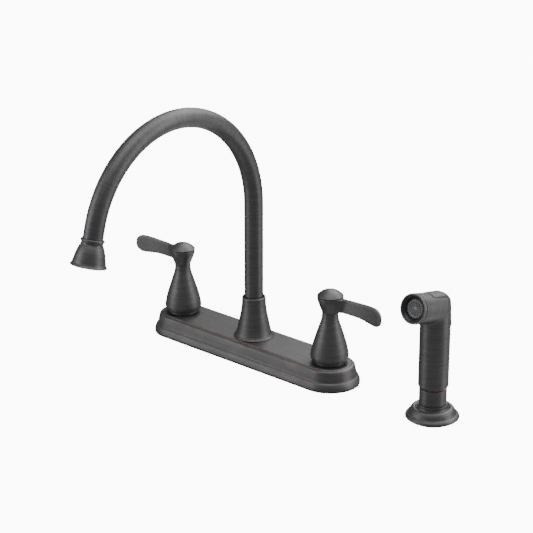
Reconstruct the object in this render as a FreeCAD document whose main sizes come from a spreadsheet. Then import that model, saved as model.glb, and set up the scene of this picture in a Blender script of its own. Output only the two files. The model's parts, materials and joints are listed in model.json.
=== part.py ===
"""Two handle kitchen faucet with a side sprayer, in millimetres.

The origin lies on the deck face under the spout.  +X runs to the cold handle, -Y to the user, +Z up.
Every turned piece is a closed outline of (radius, height) steps, revolved about its own upright axis.
"""

import FreeCAD
import Part
import Sketcher
import math
import os

DRIVING_SIZES = {
    # deck plate: a stadium in plan, ends centred on the handles
    "handle_offset": 101.6,
    "gasket_thick": 1.5,
    "gasket_width": 4.4,
    "plate_top": 21.5,
    "plate_foot": 30.6,
    "plate_step": 28.6,
    "plate_step_height": 7.2,
    "plate_cove": 26.7,
    "plate_cove_height": 10.2,
    "plate_shoulder": 25.2,
    "plate_shoulder_height": 18.2,
    "plate_rim": 22.2,
    "plate_rim_drop": 0.9,
    "plate_wall": 2.0,
    "post_hole": 14.5,
    "valve_hole": 12.3,
    # water ways under the plate
    "hub_radius": 13.5,
    "hub_bottom": 2.0,
    "hub_top": 18.0,
    "post_radius": 13.0,
    "post_top": 38.0,
    "post_bore": 11.4,
    "post_floor": 20.0,
    "seat_bore": 7.0,
    "seat_floor": 6.0,
    "nipple_radius": 6.6,
    "nipple_bore": 4.5,
    "nipple_end": -38.0,
    "nipple_rib": 0.5,
    "nipple_root": 6.8,
    "nipple_root_start": 1.0,
    "relief_depth": 0.6,
    "relief_width": 1.0,
    "cross_height": 10.0,
    "cross_radius": 6.5,
    "cross_bore": 4.5,
    "collar_radius": 15.2,
    "collar_bottom": 3.0,
    "collar_top": 17.0,
    # valves
    "shank_radius": 10.5,
    "supply_radius": 10.4,
    "supply_length": 12.0,
    "shank_end": -52.0,
    "shank_bore": 6.0,
    "valve_flange": 15.5,
    "valve_radius": 12.0,
    "valve_top": 46.0,
    "valve_seat": 5.0,
    "chamber_bore": 8.5,
    "chamber_top": 38.0,
    "thread_bore": 9.5,
    "cartridge_neck": 6.9,
    "cartridge_top": 53.0,
    "window_radius": 3.5,
    "inlet_radius": 3.0,
    "nut_flats": 19.0,
    "nut_top": 51.0,
    # deck hardware
    "washer_radius": 20.0,
    "washer_thick": 1.4,
    "deck_room": 23.6,
    "lock_flange": 24.0,
    "lock_flange_thick": 3.0,
    "lock_hub": 16.0,
    "lock_height": 14.0,
    "wing_reach": 24.0,
    "wing_thick": 4.0,
    # handle bells
    "foot_bore": 12.6,
    "foot_radius": 15.6,
    "bell_bottom": 25.0,
    "bell_base": 17.8,
    "bell_bead": 18.5,
    "bell_bead_height": 26.0,
    "bell_girth": 19.05,
    "bell_girth_height": 29.6,
    "bell_flank": 15.0,
    "bell_flank_height": 47.0,
    "bell_shoulder": 10.6,
    "bell_shoulder_height": 60.7,
    "bell_neck": 8.1,
    "bell_top": 70.5,
    "bell_wall": 1.8,
    # handles
    "hub_lift": 0.3,
    "hub_waist_height": 72.0,
    "hub_flare": 9.3,
    "hub_flare_height": 77.3,
    "hub_breast": 11.9,
    "hub_breast_height": 84.0,
    "hub_brim": 13.05,
    "hub_brim_height": 89.4,
    "handle_top": 90.0,
    "cap_socket": 9.3,
    "web_bottom": 84.0,
    "web_top": 86.0,
    "stem_radius": 5.0,
    "stem_bottom": 12.0,
    "stem_shoulder": 72.0,
    "spline_radius": 4.8,
    "screw_radius": 2.1,
    "screw_bottom": 74.0,
    "screw_head": 4.2,
    "screw_head_height": 3.0,
    "screw_slot": 0.8,
    "cap_radius": 12.75,
    "cap_gap": 0.2,
    "cap_rim": 0.7,
    "cap_top": 97.4,
    "cap_plug_depth": 2.7,
    "cap_wall": 1.6,
    # levers: a curved blade standing on edge
    "lever_thick": 3.6,
    "lever_bow": 160.0,
    "lever_bow_reach": 27.0,
    "lever_bow_back": 1.8,
    "lever_root_top": 88.9,
    "lever_root_bottom": 78.1,
    "lever_root": 13.0,
    "lever_throat": 72.6,
    "lever_neck": 7.8,
    "lever_swell": 43.0,
    "lever_swell_top": 91.3,
    "lever_swell_bottom": 76.2,
    "lever_tip": 58.0,
    "lever_tip_height": 83.4,
    "lever_tip_radius": 8.35,
    "lever_edge": 0.9,
    "lever_flare": 16.0,
    "lever_flare_radius": 9.0,
    # fixed cone nut round the spout
    "cone_foot": 20.6,
    "cone_foot_height": 0.6,
    "cone_instep": 17.7,
    "cone_instep_height": 27.0,
    "cone_flank": 16.3,
    "cone_flank_height": 33.0,
    "cone_waist": 13.6,
    "cone_waist_height": 46.5,
    "cone_throat": 12.1,
    "cone_throat_height": 62.4,
    "cone_top": 64.3,
    "cone_bore": 10.9,
    "cone_lip": 10.2,
    "cone_lip_bottom": 40.4,
    "cone_lip_thick": 2.6,
    "cone_thread_bottom": 28.0,
    "cone_skirt": 16.0,
    # spout
    "tube_radius": 9.525,
    "tube_bore": 8.3,
    "tube_bottom": 22.0,
    "riser_top": 162.8,
    "bend_radius": 107.6,
    "bend_angle": 165.0,
    "tube_tail": 17.0,
    "sleeve_bottom": 21.0,
    "sleeve_flange": 12.6,
    "sleeve_flange_top": 39.5,
    "seal_root": 10.5,
    "seal_height": 1.6,
    "seal_low": 25.0,
    "seal_high": 33.0,
    # spout bell, measured down the spout from the end of the bend
    "mouth_start": 11.0,
    "mouth_bead": 10.7,
    "mouth_bead_end": 13.4,
    "mouth_neck": 11.0,
    "mouth_neck_at": 17.0,
    "mouth_breast": 13.7,
    "mouth_breast_at": 24.0,
    "mouth_flank": 15.5,
    "mouth_flank_at": 32.0,
    "mouth_lip": 17.0,
    "mouth_lip_at": 35.5,
    "mouth_end": 36.7,
    "mouth_wall": 1.4,
    "aerator_radius": 10.2,
    "aerator_start": 20.0,
    "aerator_end": 29.0,
    "aerator_bore": 9.0,
    "aerator_neck": 8.2,
    "aerator_neck_bore": 6.5,
    "insert_start": 24.0,
    "insert_end": 28.0,
    "insert_hole": 1.1,
    "insert_ring": 5.2,
    # sprayer holder
    "sprayer_offset": 229.4,
    "holder_gasket": 0.8,
    "holder_foot": 21.2,
    "holder_brim": 25.7,
    "holder_brim_height": 3.0,
    "holder_cone_height": 4.6,
    "holder_step": 20.4,
    "holder_step_height": 10.8,
    "holder_bead": 17.4,
    "holder_bead_height": 13.0,
    "holder_lip": 15.1,
    "holder_top": 16.0,
    "holder_bore": 12.2,
    "holder_shank": 14.1,
    "holder_lead": 14.0,
    "holder_lead_length": 10.0,
    "holder_end": -42.0,
    "holder_nut_flats": 36.0,
    "holder_nut_top": -24.0,
    "holder_nut_height": 7.0,
    # sprayer handle
    "grip_collar": 13.0,
    "grip_collar_top": 30.5,
    "grip_tail": 11.9,
    "grip_tail_end": 11.4,
    "grip_tail_bottom": 1.0,
    "spigot_radius": 6.9,
    "spigot_top": 42.0,
    "spigot_bore": 4.6,
    "inlet_socket": 8.0,
    "inlet_top": 14.0,
    "inlet_nipple": 4.5,
    "inlet_end": -14.0,
    "inlet_bore": 3.0,
    "grip_radius": 14.4,
    "grip_bottom": 31.0,
    "grip_chamfer": 3.3,
    "grip_taper_height": 92.0,
    "grip_bore": 5.5,
    "grip_bore_top": 112.0,
    # sprayer head: a barrel across the handle, tilted up
    "head_height": 112.2,
    "head_tilt": 13.8,
    "head_radius": 14.4,
    "head_end": 29.8,
    "head_channel": 2.6,
    "head_web": 15.0,
    "head_recess": 12.4,
    "head_recess_floor": 21.0,
    "corner_radius": 9.0,
    "corner_height": 4.9,
    "nozzle_start": 30.3,
    "nozzle_end": 36.0,
    "nozzle_bore": 11.2,
    "nozzle_lip": 12.9,
    "nozzle_round": 3.2,
    "nozzle_bevel": 2.4,
    "face_radius": 8.6,
    "face_stem": 3.95,
    "face_start": 27.0,
    "face_end": 33.5,
    "face_slot": 0.8,
    "face_slot_depth": 1.3,
    "face_slot_start": 2.6,
    "face_slot_end": 7.6,
    "face_tooth": 0.8,
    # trigger over the back of the head
    "trigger_half": 8.75,
    "trigger_front": -4.0,
    "trigger_back": 16.4,
    "trigger_inner": 11.6,
    "crown_rise": 0.4,
    "trigger_bottom": 92.0,
    "trigger_under": 121.6,
    "pivot_height": 120.5,
    "pivot_lug": 2.6,
    "pin_radius": 1.25,
    "pin_half": 10.4,
    "pocket_back": 8.0,
    "pocket_top": 117.5,
    "pocket_bottom": 89.8,
    "pocket_margin": 0.4,
    "plunger_height": 104.0,
    "plunger_radius": 2.0,
    "plunger_disc": 3.4,
    "plunger_disc_thick": 1.5,
    "plunger_tail": 1.0,
    "plunger_tail_end": -3.0,
    "plunger_end": 11.3,
    "spring_radius": 1.6,
    "spring_wire": 0.25,
    "spring_start": -4.8,
    "spring_length": 4.5,
    "spring_turns": 4.0,
    # play between pieces
    "fit": 0.05,
    "play": 0.3,
}

LONG = 400.0
EPSILON = 1e-9
HOLES_IN_INSERT = 8
FACE_SLOTS = 24
FACE_TEETH = 30
NUT_WINGS = 4


class Dim:
    """A size that knows both its value and the sheet expression that gives it."""

    def __init__(self, value, text):
        self.value = value
        self.text = text

    def join(self, other, sign, value):
        return Dim(value, "(%s %s %s)" % (self.text, sign, as_dim(other).text))

    def __add__(self, other):
        return self.join(other, "+", self.value + as_dim(other).value)

    def __sub__(self, other):
        return self.join(other, "-", self.value - as_dim(other).value)

    def __mul__(self, other):
        return self.join(other, "*", self.value * as_dim(other).value)

    def __truediv__(self, other):
        return self.join(other, "/", self.value / as_dim(other).value)

    def __neg__(self):
        return self * -1.0


def as_dim(item):
    """Turn a plain number into a Dim; a Dim stays as it is."""
    if isinstance(item, Dim):
        return item
    return Dim(float(item), repr(float(item)))


def cosine(angle):
    return Dim(math.cos(math.radians(angle.value)), "cos(%s)" % angle.text)


def sine(angle):
    return Dim(math.sin(math.radians(angle.value)), "sin(%s)" % angle.text)


class Sizes:
    """The sheet of driving sizes; each alias reads back as a Dim."""

    def __init__(self, document):
        sheet = document.addObject("Spreadsheet::Sheet", "Sizes")
        for row, (alias, value) in enumerate(DRIVING_SIZES.items(), start=1):
            sheet.set("A%d" % row, alias)
            sheet.set("B%d" % row, repr(value))
            sheet.setAlias("B%d" % row, alias)
            setattr(self, alias, Dim(value, "Sizes." + alias))
        document.recompute()


document = FreeCAD.newDocument("Faucet")
s = Sizes(document)


# ---------------------------------------------------------------- sketches

def mirrored(steps):
    """The same outline on the other side of the upright axis."""
    flipped = []
    for step in steps:
        flipped.append((-as_dim(step[0]),) + tuple(step[1:2]) + tuple(-as_dim(r) for r in step[2:]))
    return flipped


def arc_between(start, end, radius):
    """The short arc from start to end; it turns left when the radius is positive."""
    chord = end - start
    reach = chord.Length / 2
    rise = math.sqrt(max(radius * radius - reach * reach, 0.0))
    left = FreeCAD.Vector(-chord.y, chord.x, 0) / chord.Length
    centre = (start + end) / 2 + left * math.copysign(rise, radius)
    first, last = (start, end) if radius > 0 else (end, start)
    angles = [math.atan2(point.y - centre.y, point.x - centre.x) for point in (first, last)]
    circle = Part.Circle(centre, FreeCAD.Vector(0, 0, 1), abs(radius))
    return Part.ArcOfCircle(circle, angles[0], angles[1])


def bind(sketch, kind, where, size):
    """Add one measured constraint and tie it to the sheet."""
    index = sketch.addConstraint(Sketcher.Constraint(kind, *where, size.value))
    if "Sizes." in size.text:
        sketch.setExpression("Constraints[%d]" % index, size.text)


def pin_point(sketch, geometry, vertex, x, y):
    """Hold one vertex at (x, y) from the sketch's origin."""
    for kind, size, axis in (("DistanceX", x, -2), ("DistanceY", y, -1)):
        if abs(size.value) < EPSILON:
            sketch.addConstraint(Sketcher.Constraint("PointOnObject", geometry, vertex, axis))
        else:
            bind(sketch, kind, (-1, 1, geometry, vertex), size)


def draw(sketch, steps):
    """Draw a closed outline.  A step (x, y) ends a straight side and (x, y, radius) ends an arc."""
    points = [(as_dim(step[0]), as_dim(step[1])) for step in steps]
    spots = [FreeCAD.Vector(x.value, y.value, 0) for x, y in points]
    ends = []
    for i, step in enumerate(steps):
        if len(step) == 2:
            shape = Part.LineSegment(spots[i - 1], spots[i])
            geometry = sketch.addGeometry(shape, False)
            ends.append((geometry, 1, 2))
        else:
            radius = as_dim(step[2])
            geometry = sketch.addGeometry(arc_between(spots[i - 1], spots[i], radius.value), False)
            bind(sketch, "Radius", (geometry,), radius if radius.value > 0 else -radius)
            ends.append((geometry, 1, 2) if radius.value > 0 else (geometry, 2, 1))
    for i, (geometry, start, end) in enumerate(ends):
        before = ends[i - 1]
        sketch.addConstraint(Sketcher.Constraint("Coincident", before[0], before[2], geometry, start))
        pin_point(sketch, geometry, end, *points[i])


def circle(sketch, x, y, radius):
    """Draw a circle about (x, y)."""
    centre = FreeCAD.Vector(as_dim(x).value, as_dim(y).value, 0)
    shape = Part.Circle(centre, FreeCAD.Vector(0, 0, 1), radius.value)
    geometry = sketch.addGeometry(shape, False)
    bind(sketch, "Radius", (geometry,), radius)
    pin_point(sketch, geometry, 3, as_dim(x), as_dim(y))


def new_body(name, x=0.0, y=0.0, z=0.0, lean=0.0):
    """A piece placed at (x, y, z), its own axis leaned about X."""
    body = document.addObject("PartDesign::Body", name)
    body.Label = name
    spot = [as_dim(item) for item in (x, y, z)]
    turn = FreeCAD.Rotation(FreeCAD.Vector(1, 0, 0), as_dim(lean).value)
    body.Placement = FreeCAD.Placement(FreeCAD.Vector(*[item.value for item in spot]), turn)
    for axis, item in zip("xyz", spot):
        if "Sizes." in item.text:
            body.setExpression("Placement.Base." + axis, item.text)
    if "Sizes." in as_dim(lean).text:
        body.setExpression("Placement.Rotation.Angle", as_dim(lean).text)
    return body


def new_sketch(body, plane, x=0.0, y=0.0, z=0.0, turn=0.0):
    """A sketch on one of the body's own planes, shifted and turned within that plane."""
    sketch = body.newObject("Sketcher::SketchObject", body.Label + "_sketch")
    support = [item for item in body.Origin.OriginFeatures if item.Role == plane][0]
    sketch.AttachmentSupport = [(support, "")]
    sketch.MapMode = "FlatFace"
    spot = [as_dim(item) for item in (x, y, z)]
    spin = FreeCAD.Rotation(FreeCAD.Vector(0, 0, 1), as_dim(turn).value)
    offset = FreeCAD.Vector(*[item.value for item in spot])
    sketch.AttachmentOffset = FreeCAD.Placement(offset, spin)
    for axis, item in zip("xyz", spot):
        if "Sizes." in item.text:
            sketch.setExpression("AttachmentOffset.Base." + axis, item.text)
    if "Sizes." in as_dim(turn).text:
        sketch.setExpression("AttachmentOffset.Rotation.Angle", as_dim(turn).text)
    return sketch


# ---------------------------------------------------------------- features

def set_size(feature, name, size):
    size = as_dim(size)
    setattr(feature, name, size.value)
    if "Sizes." in size.text:
        feature.setExpression(name, size.text)


def must_cut(body, feature, before):
    """A cut that removes nothing is an error."""
    document.recompute()
    if feature.Shape.Volume > before - 1e-3:
        raise RuntimeError("%s cuts nothing from %s" % (feature.Name, body.Label))


def revolve(body, sketch, angle=360.0, halved=False):
    feature = body.newObject("PartDesign::Revolution", body.Label + "_turned")
    feature.Profile = sketch
    feature.ReferenceAxis = (sketch, ["V_Axis"])
    feature.Angle = angle
    feature.Midplane = halved
    sketch.Visibility = False
    return feature


def groove(body, sketch):
    document.recompute()
    before = body.Shape.Volume
    feature = body.newObject("PartDesign::Groove", body.Label + "_bored")
    feature.Profile = sketch
    feature.ReferenceAxis = (sketch, ["V_Axis"])
    feature.Angle = 360.0
    must_cut(body, feature, before)
    return feature


def pad(body, sketch, length, both_ways=False):
    feature = body.newObject("PartDesign::Pad", body.Label + "_pad")
    feature.Profile = sketch
    set_size(feature, "Length", length)
    feature.SideType = "Symmetric" if both_ways else "One side"
    return feature


def pocket(body, sketch, length=LONG, both_ways=True, flipped=False):
    document.recompute()
    before = body.Shape.Volume
    feature = body.newObject("PartDesign::Pocket", body.Label + "_pocket")
    feature.Profile = sketch
    set_size(feature, "Length", length)
    feature.SideType = "Symmetric" if both_ways else "One side"
    feature.Reversed = flipped
    must_cut(body, feature, before)
    return feature


def around(body, feature, count):
    """Repeat a feature evenly about the body's upright axis."""
    document.recompute()
    pattern = body.newObject("PartDesign::PolarPattern", body.Label + "_pattern")
    pattern.Originals = [feature]
    pattern.Axis = ([item for item in body.Origin.OriginFeatures if item.Role == "Z_Axis"][0], [""])
    pattern.Angle = 360.0
    pattern.Occurrences = count
    body.Tip = pattern
    document.recompute()
    return pattern


def turned(name, steps, x=0.0, y=0.0, z=0.0, lean=0.0):
    """A piece turned from one closed outline of (radius, height) steps."""
    body = new_body(name, x, y, z, lean)
    sketch = new_sketch(body, "XZ_Plane")
    draw(sketch, steps)
    revolve(body, sketch)
    return body


def ring_steps(bore, radius, bottom, top):
    return [(bore, bottom), (radius, bottom), (radius, top), (bore, top)]


def hexagon(flats):
    """Corners of a hexagon by its width across flats."""
    corner = flats / (math.sqrt(3.0))
    corners = [(corner, 0.0)]
    for reach, rise in ((0.5, 0.5), (-0.5, 0.5)):
        corners.append((corner * reach, flats * rise))
    corners.append((-corner, 0.0))
    for reach, rise in ((-0.5, -0.5), (0.5, -0.5)):
        corners.append((corner * reach, flats * rise))
    return corners


# ---------------------------------------------------------------- deck plate

def plate_half_section():
    """Half of the hollow section, from the axis of the plate outwards."""
    wall = s.plate_wall
    return [
        (0.0, s.plate_top),
        (0.0, s.plate_top - wall),
        (s.plate_rim - wall * 0.4, s.plate_top - wall),
        (s.plate_shoulder - wall, s.plate_shoulder_height - wall * 0.3),
        (s.plate_cove - wall, s.plate_cove_height - wall * 0.4),
        (s.plate_foot - wall * 2.0, s.plate_step_height - wall),
        (s.plate_foot - wall * 1.2, s.gasket_thick),
        (s.plate_foot, s.gasket_thick),
        (s.plate_step, s.plate_step_height, 11.0),
        (s.plate_step - 0.3, s.plate_step_height + 0.7),
        (s.plate_cove, s.plate_cove_height, -3.2),
        (s.plate_shoulder, s.plate_shoulder_height, 40.0),
        (s.plate_rim + 0.9, s.plate_top - s.plate_rim_drop - 0.3, 2.4),
        (s.plate_rim, s.plate_top - s.plate_rim_drop),
        (s.plate_rim - 0.9, s.plate_top, 0.95),
    ]


def stadium(radius):
    """A stadium about the three deck holes, its round ends centred on the outer ones."""
    far = s.handle_offset
    return [
        (-far, -radius, radius),
        (far, -radius),
        (far + radius, 0.0, radius),
        (far, radius, radius),
        (-far, radius),
        (-far - radius, 0.0, radius),
    ]


def make_deck_plate():
    body = new_body("deck_plate")
    for half in (plate_half_section(), mirrored(plate_half_section())):
        sketch = new_sketch(body, "YZ_Plane")
        draw(sketch, half)
        pad(body, sketch, s.handle_offset * 2.0, both_ways=True)
    for end, half in ((s.handle_offset, plate_half_section()),
                      (-s.handle_offset, mirrored(plate_half_section()))):
        sketch = new_sketch(body, "XZ_Plane", x=end)
        draw(sketch, half)
        revolve(body, sketch, 180.0, halved=True)
    holes = new_sketch(body, "XY_Plane")
    circle(holes, 0.0, 0.0, s.post_hole)
    circle(holes, s.handle_offset, 0.0, s.valve_hole)
    circle(holes, -s.handle_offset, 0.0, s.valve_hole)
    pocket(body, holes)


def make_deck_gasket():
    body = new_body("deck_gasket")
    sketch = new_sketch(body, "XY_Plane")
    draw(sketch, stadium(s.plate_foot - 0.2))
    draw(sketch, stadium(s.plate_foot - 0.2 - s.gasket_width))
    pad(body, sketch, s.gasket_thick)


# ---------------------------------------------------------------- water ways

def make_waterway():
    """Centre post, two collars round the valves and the tube that joins them."""
    body = new_body("waterway")
    tube = new_sketch(body, "YZ_Plane")
    circle(tube, 0.0, s.cross_height, s.cross_radius)
    pad(body, tube, s.handle_offset * 2.0, both_ways=True)
    post = new_sketch(body, "XZ_Plane")
    draw(post, [
        (0.0, s.hub_bottom),
        (s.hub_radius, s.hub_bottom),
        (s.hub_radius, s.hub_top),
        (s.post_radius, s.hub_top + 0.5),
        (s.post_radius, s.post_top),
        (0.0, s.post_top),
    ])
    revolve(body, post)
    collars = new_sketch(body, "XY_Plane", z=s.collar_bottom)
    circle(collars, s.handle_offset, 0.0, s.collar_radius)
    circle(collars, -s.handle_offset, 0.0, s.collar_radius)
    pad(body, collars, s.collar_top - s.collar_bottom)
    through = new_sketch(body, "YZ_Plane")
    circle(through, 0.0, s.cross_height, s.cross_bore)
    pocket(body, through, s.handle_offset * 2.0)
    bore = new_sketch(body, "XZ_Plane")
    draw(bore, [
        (0.0, s.hub_bottom - 1.0),
        (s.nipple_root + s.fit, s.hub_bottom - 1.0),
        (s.nipple_root + s.fit, s.seat_floor),
        (s.seat_bore, s.seat_floor),
        (s.seat_bore, s.post_floor),
        (s.post_bore, s.post_floor),
        (s.post_bore, s.post_top + 1.0),
        (0.0, s.post_top + 1.0),
    ])
    groove(body, bore)
    seats = new_sketch(body, "XY_Plane")
    circle(seats, s.handle_offset, 0.0, s.valve_radius + s.fit)
    circle(seats, -s.handle_offset, 0.0, s.valve_radius + s.fit)
    pocket(body, seats)


def make_diverter():
    """Spool that sends the water to the sprayer when its valve opens."""
    radius = s.seat_bore - 0.1
    waist = radius - 2.4
    bottom = s.seat_floor + 2.0
    top = s.post_floor - 1.0
    turned("diverter", [
        (0.0, bottom),
        (waist, bottom),
        (waist, top - 5.0),
        (radius, top - 4.0),
        (radius, top),
        (waist, top),
        (waist, top - 2.0),
        (0.0, top - 2.0),
    ])


def make_spray_outlet_nipple():
    """Outlet under the post, with ribs near its end for a hose and a relief above its plain part."""
    rib = s.nipple_rib
    end = s.nipple_end
    start = s.nipple_root_start
    relief = s.nipple_radius - s.relief_depth
    turned("spray_outlet_nipple", [
        (s.nipple_bore, end),
        (s.nipple_radius - rib, end),
        (s.nipple_radius, end + 3.0),
        (s.nipple_radius - rib, end + 3.0),
        (s.nipple_radius, end + 6.0),
        (s.nipple_radius - rib, end + 6.0),
        (s.nipple_radius, end + 9.0),
        (s.nipple_radius, start - s.relief_width),
        (relief, start - s.relief_width),
        (relief, start),
        (s.nipple_root, start),
        (s.nipple_root, s.seat_floor),
        (s.nipple_bore, s.seat_floor),
    ])


# ---------------------------------------------------------------- valves

def make_valve_body(side, sign):
    """Body with a shank for the lock nut, a relief and below it the end for the supply line."""
    supply_top = s.shank_end + s.supply_length
    relief = s.supply_radius - s.relief_depth
    body = turned(side + "_valve_body", [
        (s.shank_bore, s.shank_end),
        (s.supply_radius, s.shank_end),
        (s.supply_radius, supply_top),
        (relief, supply_top),
        (relief, supply_top + s.relief_width),
        (s.shank_radius, supply_top + s.relief_width),
        (s.shank_radius, 0.0),
        (s.valve_flange, 0.0),
        (s.valve_flange, s.collar_bottom),
        (s.valve_radius, s.collar_bottom),
        (s.valve_radius, s.valve_top),
        (s.thread_bore, s.valve_top),
        (s.thread_bore, s.chamber_top),
        (s.chamber_bore, s.chamber_top),
        (s.chamber_bore, s.valve_seat),
        (s.shank_bore, s.valve_seat),
    ], x=s.handle_offset * sign)
    port = new_sketch(body, "YZ_Plane")
    circle(port, 0.0, s.cross_height, s.cross_bore - 0.3)
    pocket(body, port, s.valve_radius + 1.0, both_ways=False, flipped=sign < 0)


def make_cartridge(side, sign):
    radius = s.chamber_bore - s.fit
    bore = s.stem_radius + s.fit
    body = turned(side + "_cartridge", [
        (s.inlet_radius, s.valve_seat),
        (radius, s.valve_seat),
        (radius, s.chamber_top),
        (s.cartridge_neck, s.chamber_top),
        (s.cartridge_neck, s.cartridge_top),
        (bore, s.cartridge_top),
        (bore, s.stem_bottom - 0.5),
        (s.inlet_radius, s.stem_bottom - 4.0),
    ], x=s.handle_offset * sign)
    window = new_sketch(body, "YZ_Plane")
    circle(window, 0.0, s.cross_height + 1.0, s.window_radius)
    pocket(body, window)


def make_bonnet_nut(side, sign):
    """Thread below, hexagon above, holding the cartridge down."""
    body = turned(side + "_bonnet_nut", ring_steps(
        s.cartridge_neck + 0.1, s.thread_bore - s.fit, s.chamber_top, s.valve_top,
    ), x=s.handle_offset * sign)
    head = new_sketch(body, "XY_Plane", z=s.valve_top)
    draw(head, hexagon(s.nut_flats))
    circle(head, 0.0, 0.0, s.cartridge_neck + 0.1)
    pad(body, head, s.nut_top - s.valve_top)


def make_lock_washer(side, sign):
    top = -s.deck_room
    turned(side + "_lock_washer", ring_steps(
        s.shank_radius + 0.2, s.washer_radius, top - s.washer_thick, top,
    ), x=s.handle_offset * sign)


def make_lock_nut(side, sign):
    """Flanged nut with four wings for turning it by hand from below."""
    top = -s.deck_room - s.washer_thick
    bottom = top - s.lock_height
    bore = s.shank_radius + s.fit
    body = turned(side + "_lock_nut", [
        (bore, bottom),
        (s.lock_hub, bottom),
        (s.lock_hub, top - s.lock_flange_thick),
        (s.lock_flange, top - s.lock_flange_thick),
        (s.lock_flange, top),
        (bore, top),
    ], x=s.handle_offset * sign)
    wing = new_sketch(body, "XY_Plane", z=bottom)
    half = s.wing_thick / 2.0
    draw(wing, [
        (s.lock_hub - 1.0, -half),
        (s.wing_reach, -half),
        (s.wing_reach, half),
        (s.lock_hub - 1.0, half),
    ])
    around(body, pad(body, wing, s.lock_height - 1.0), NUT_WINGS)


# ---------------------------------------------------------------- handle bells

def make_foot_ring(side, sign):
    turned(side + "_foot_ring", [
        (s.foot_bore, s.plate_top),
        (s.foot_radius, s.plate_top),
        (s.foot_radius, s.bell_bottom),
        (s.foot_bore, s.bell_bottom),
    ], x=s.handle_offset * sign)


def make_bell(side, sign):
    wall = s.bell_wall
    step = s.foot_radius - 1.0
    turned(side + "_bell", [
        (step, s.bell_bottom),
        (s.bell_base, s.bell_bottom),
        (s.bell_bead, s.bell_bead_height, 1.2),
        (s.bell_girth, s.bell_girth_height, 20.0),
        (s.bell_flank, s.bell_flank_height, 100.0),
        (s.bell_shoulder, s.bell_shoulder_height),
        (s.bell_neck, s.bell_top, -30.0),
        (s.bell_neck - wall + 0.2, s.bell_top),
        (s.bell_neck - wall + 0.2, s.bell_top - 2.5),
        (s.bell_shoulder - wall, s.bell_shoulder_height - 0.7),
        (s.bell_flank - wall, s.bell_flank_height),
        (s.bell_girth - wall, s.bell_girth_height),
        (s.bell_bead - wall, s.bell_bead_height + 1.5),
        (step, s.bell_bead_height + 1.0),
    ], x=s.handle_offset * sign)


# ---------------------------------------------------------------- handles

def hub_steps():
    bore = s.stem_radius + s.fit
    bottom = s.bell_top + s.hub_lift
    return [
        (0.0, bottom),
        (s.bell_neck, bottom),
        (s.bell_neck, s.hub_waist_height),
        (s.hub_flare, s.hub_flare_height, -13.0),
        (s.hub_breast, s.hub_breast_height),
        (s.hub_brim, s.hub_brim_height, 22.0),
        (s.hub_brim - 0.45, s.handle_top, 0.8),
        (0.0, s.handle_top),
    ], [
        (0.0, bottom - 1.0),
        (bore, bottom - 1.0),
        (bore, s.web_bottom),
        (s.screw_radius + 0.1, s.web_bottom),
        (s.screw_radius + 0.1, s.web_top),
        (s.cap_socket, s.web_top),
        (s.cap_socket, s.handle_top + 1.0),
        (0.0, s.handle_top + 1.0),
    ]


def lever_side():
    """The blade seen from the front: a slim root that swells to a round tip."""
    tip = s.lever_tip_radius
    return [
        (0.0, s.lever_throat),
        (s.lever_neck, s.lever_throat),
        (s.lever_root, s.lever_root_bottom, -9.0),
        (s.lever_bow_reach - 5.0, s.lever_root_bottom + 0.2),
        (s.lever_swell, s.lever_swell_bottom, -140.0),
        (s.lever_tip, s.lever_tip_height - tip, 75.0),
        (s.lever_tip + tip, s.lever_tip_height, tip),
        (s.lever_tip, s.lever_tip_height + tip, tip),
        (s.lever_swell, s.lever_swell_top, 110.0),
        (s.lever_root, s.lever_root_top, -260.0),
        (0.0, s.lever_root_top),
    ]


def bow_point(radius, reach):
    """Height of the bow's circle above the plan's X axis at one reach."""
    across = reach - s.lever_bow_reach
    rise = math.sqrt(radius.value ** 2 - across.value ** 2)
    text = "sqrt(%s * %s - %s * %s)" % (radius.text, radius.text, across.text, across.text)
    return Dim(rise, text) - s.lever_bow + s.lever_bow_back


def lever_plan_waste():
    """What is cut away before and behind the blade, seen from above."""
    front = s.lever_bow - s.lever_thick / 2.0
    back = s.lever_bow + s.lever_thick / 2.0
    end = s.lever_tip + s.lever_tip_radius + 2.0
    start = s.lever_root - 5.0
    flare = s.lever_flare
    side = as_dim(14.0)
    before = [
        (start, -side),
        (end, -side),
        (end, bow_point(front, end)),
        (flare, bow_point(front, flare), front),
        (start, bow_point(front, start) - 1.6, 6.0),
    ]
    behind = [
        (end, side),
        (start, side),
        (start, s.lever_flare_radius - 0.2),
        (flare, bow_point(back, flare), 9.5),
        (end, bow_point(back, end), -back),
    ]
    return before, behind


def round_edges(body, radius, beyond):
    """Round the blade's long edges on both faces, clear of the hub."""
    document.recompute()
    tip = body.Tip
    names = []
    for index, edge in enumerate(tip.Shape.Edges, start=1):
        box = edge.BoundBox
        near = min(abs(box.XMin), abs(box.XMax))
        lengthwise = box.YLength < (s.lever_thick.value * 1.9)
        if near > beyond.value - 0.1 and lengthwise and edge.Length > s.lever_thick.value + 0.5:
            names.append("Edge%d" % index)
    fillet = body.newObject("PartDesign::Fillet", body.Label + "_rounded")
    fillet.Base = (tip, names)
    set_size(fillet, "Radius", radius)
    document.recompute()


def make_handle(side, sign):
    """Hub that fits the stem, with its lever pointing outwards."""
    body = new_body(side + "_handle", x=s.handle_offset * sign)
    blade = new_sketch(body, "XZ_Plane")
    draw(blade, lever_side() if sign > 0 else mirrored(lever_side()))
    pad(body, blade, 26.0, both_ways=True)
    for waste in lever_plan_waste():
        plan = new_sketch(body, "XY_Plane")
        draw(plan, waste if sign > 0 else mirrored(waste))
        pocket(body, plan)
    round_edges(body, s.lever_edge, s.lever_flare)
    outside, inside = hub_steps()
    hub = new_sketch(body, "XZ_Plane")
    draw(hub, outside)
    revolve(body, hub)
    bore = new_sketch(body, "XZ_Plane")
    draw(bore, inside)
    groove(body, bore)


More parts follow.
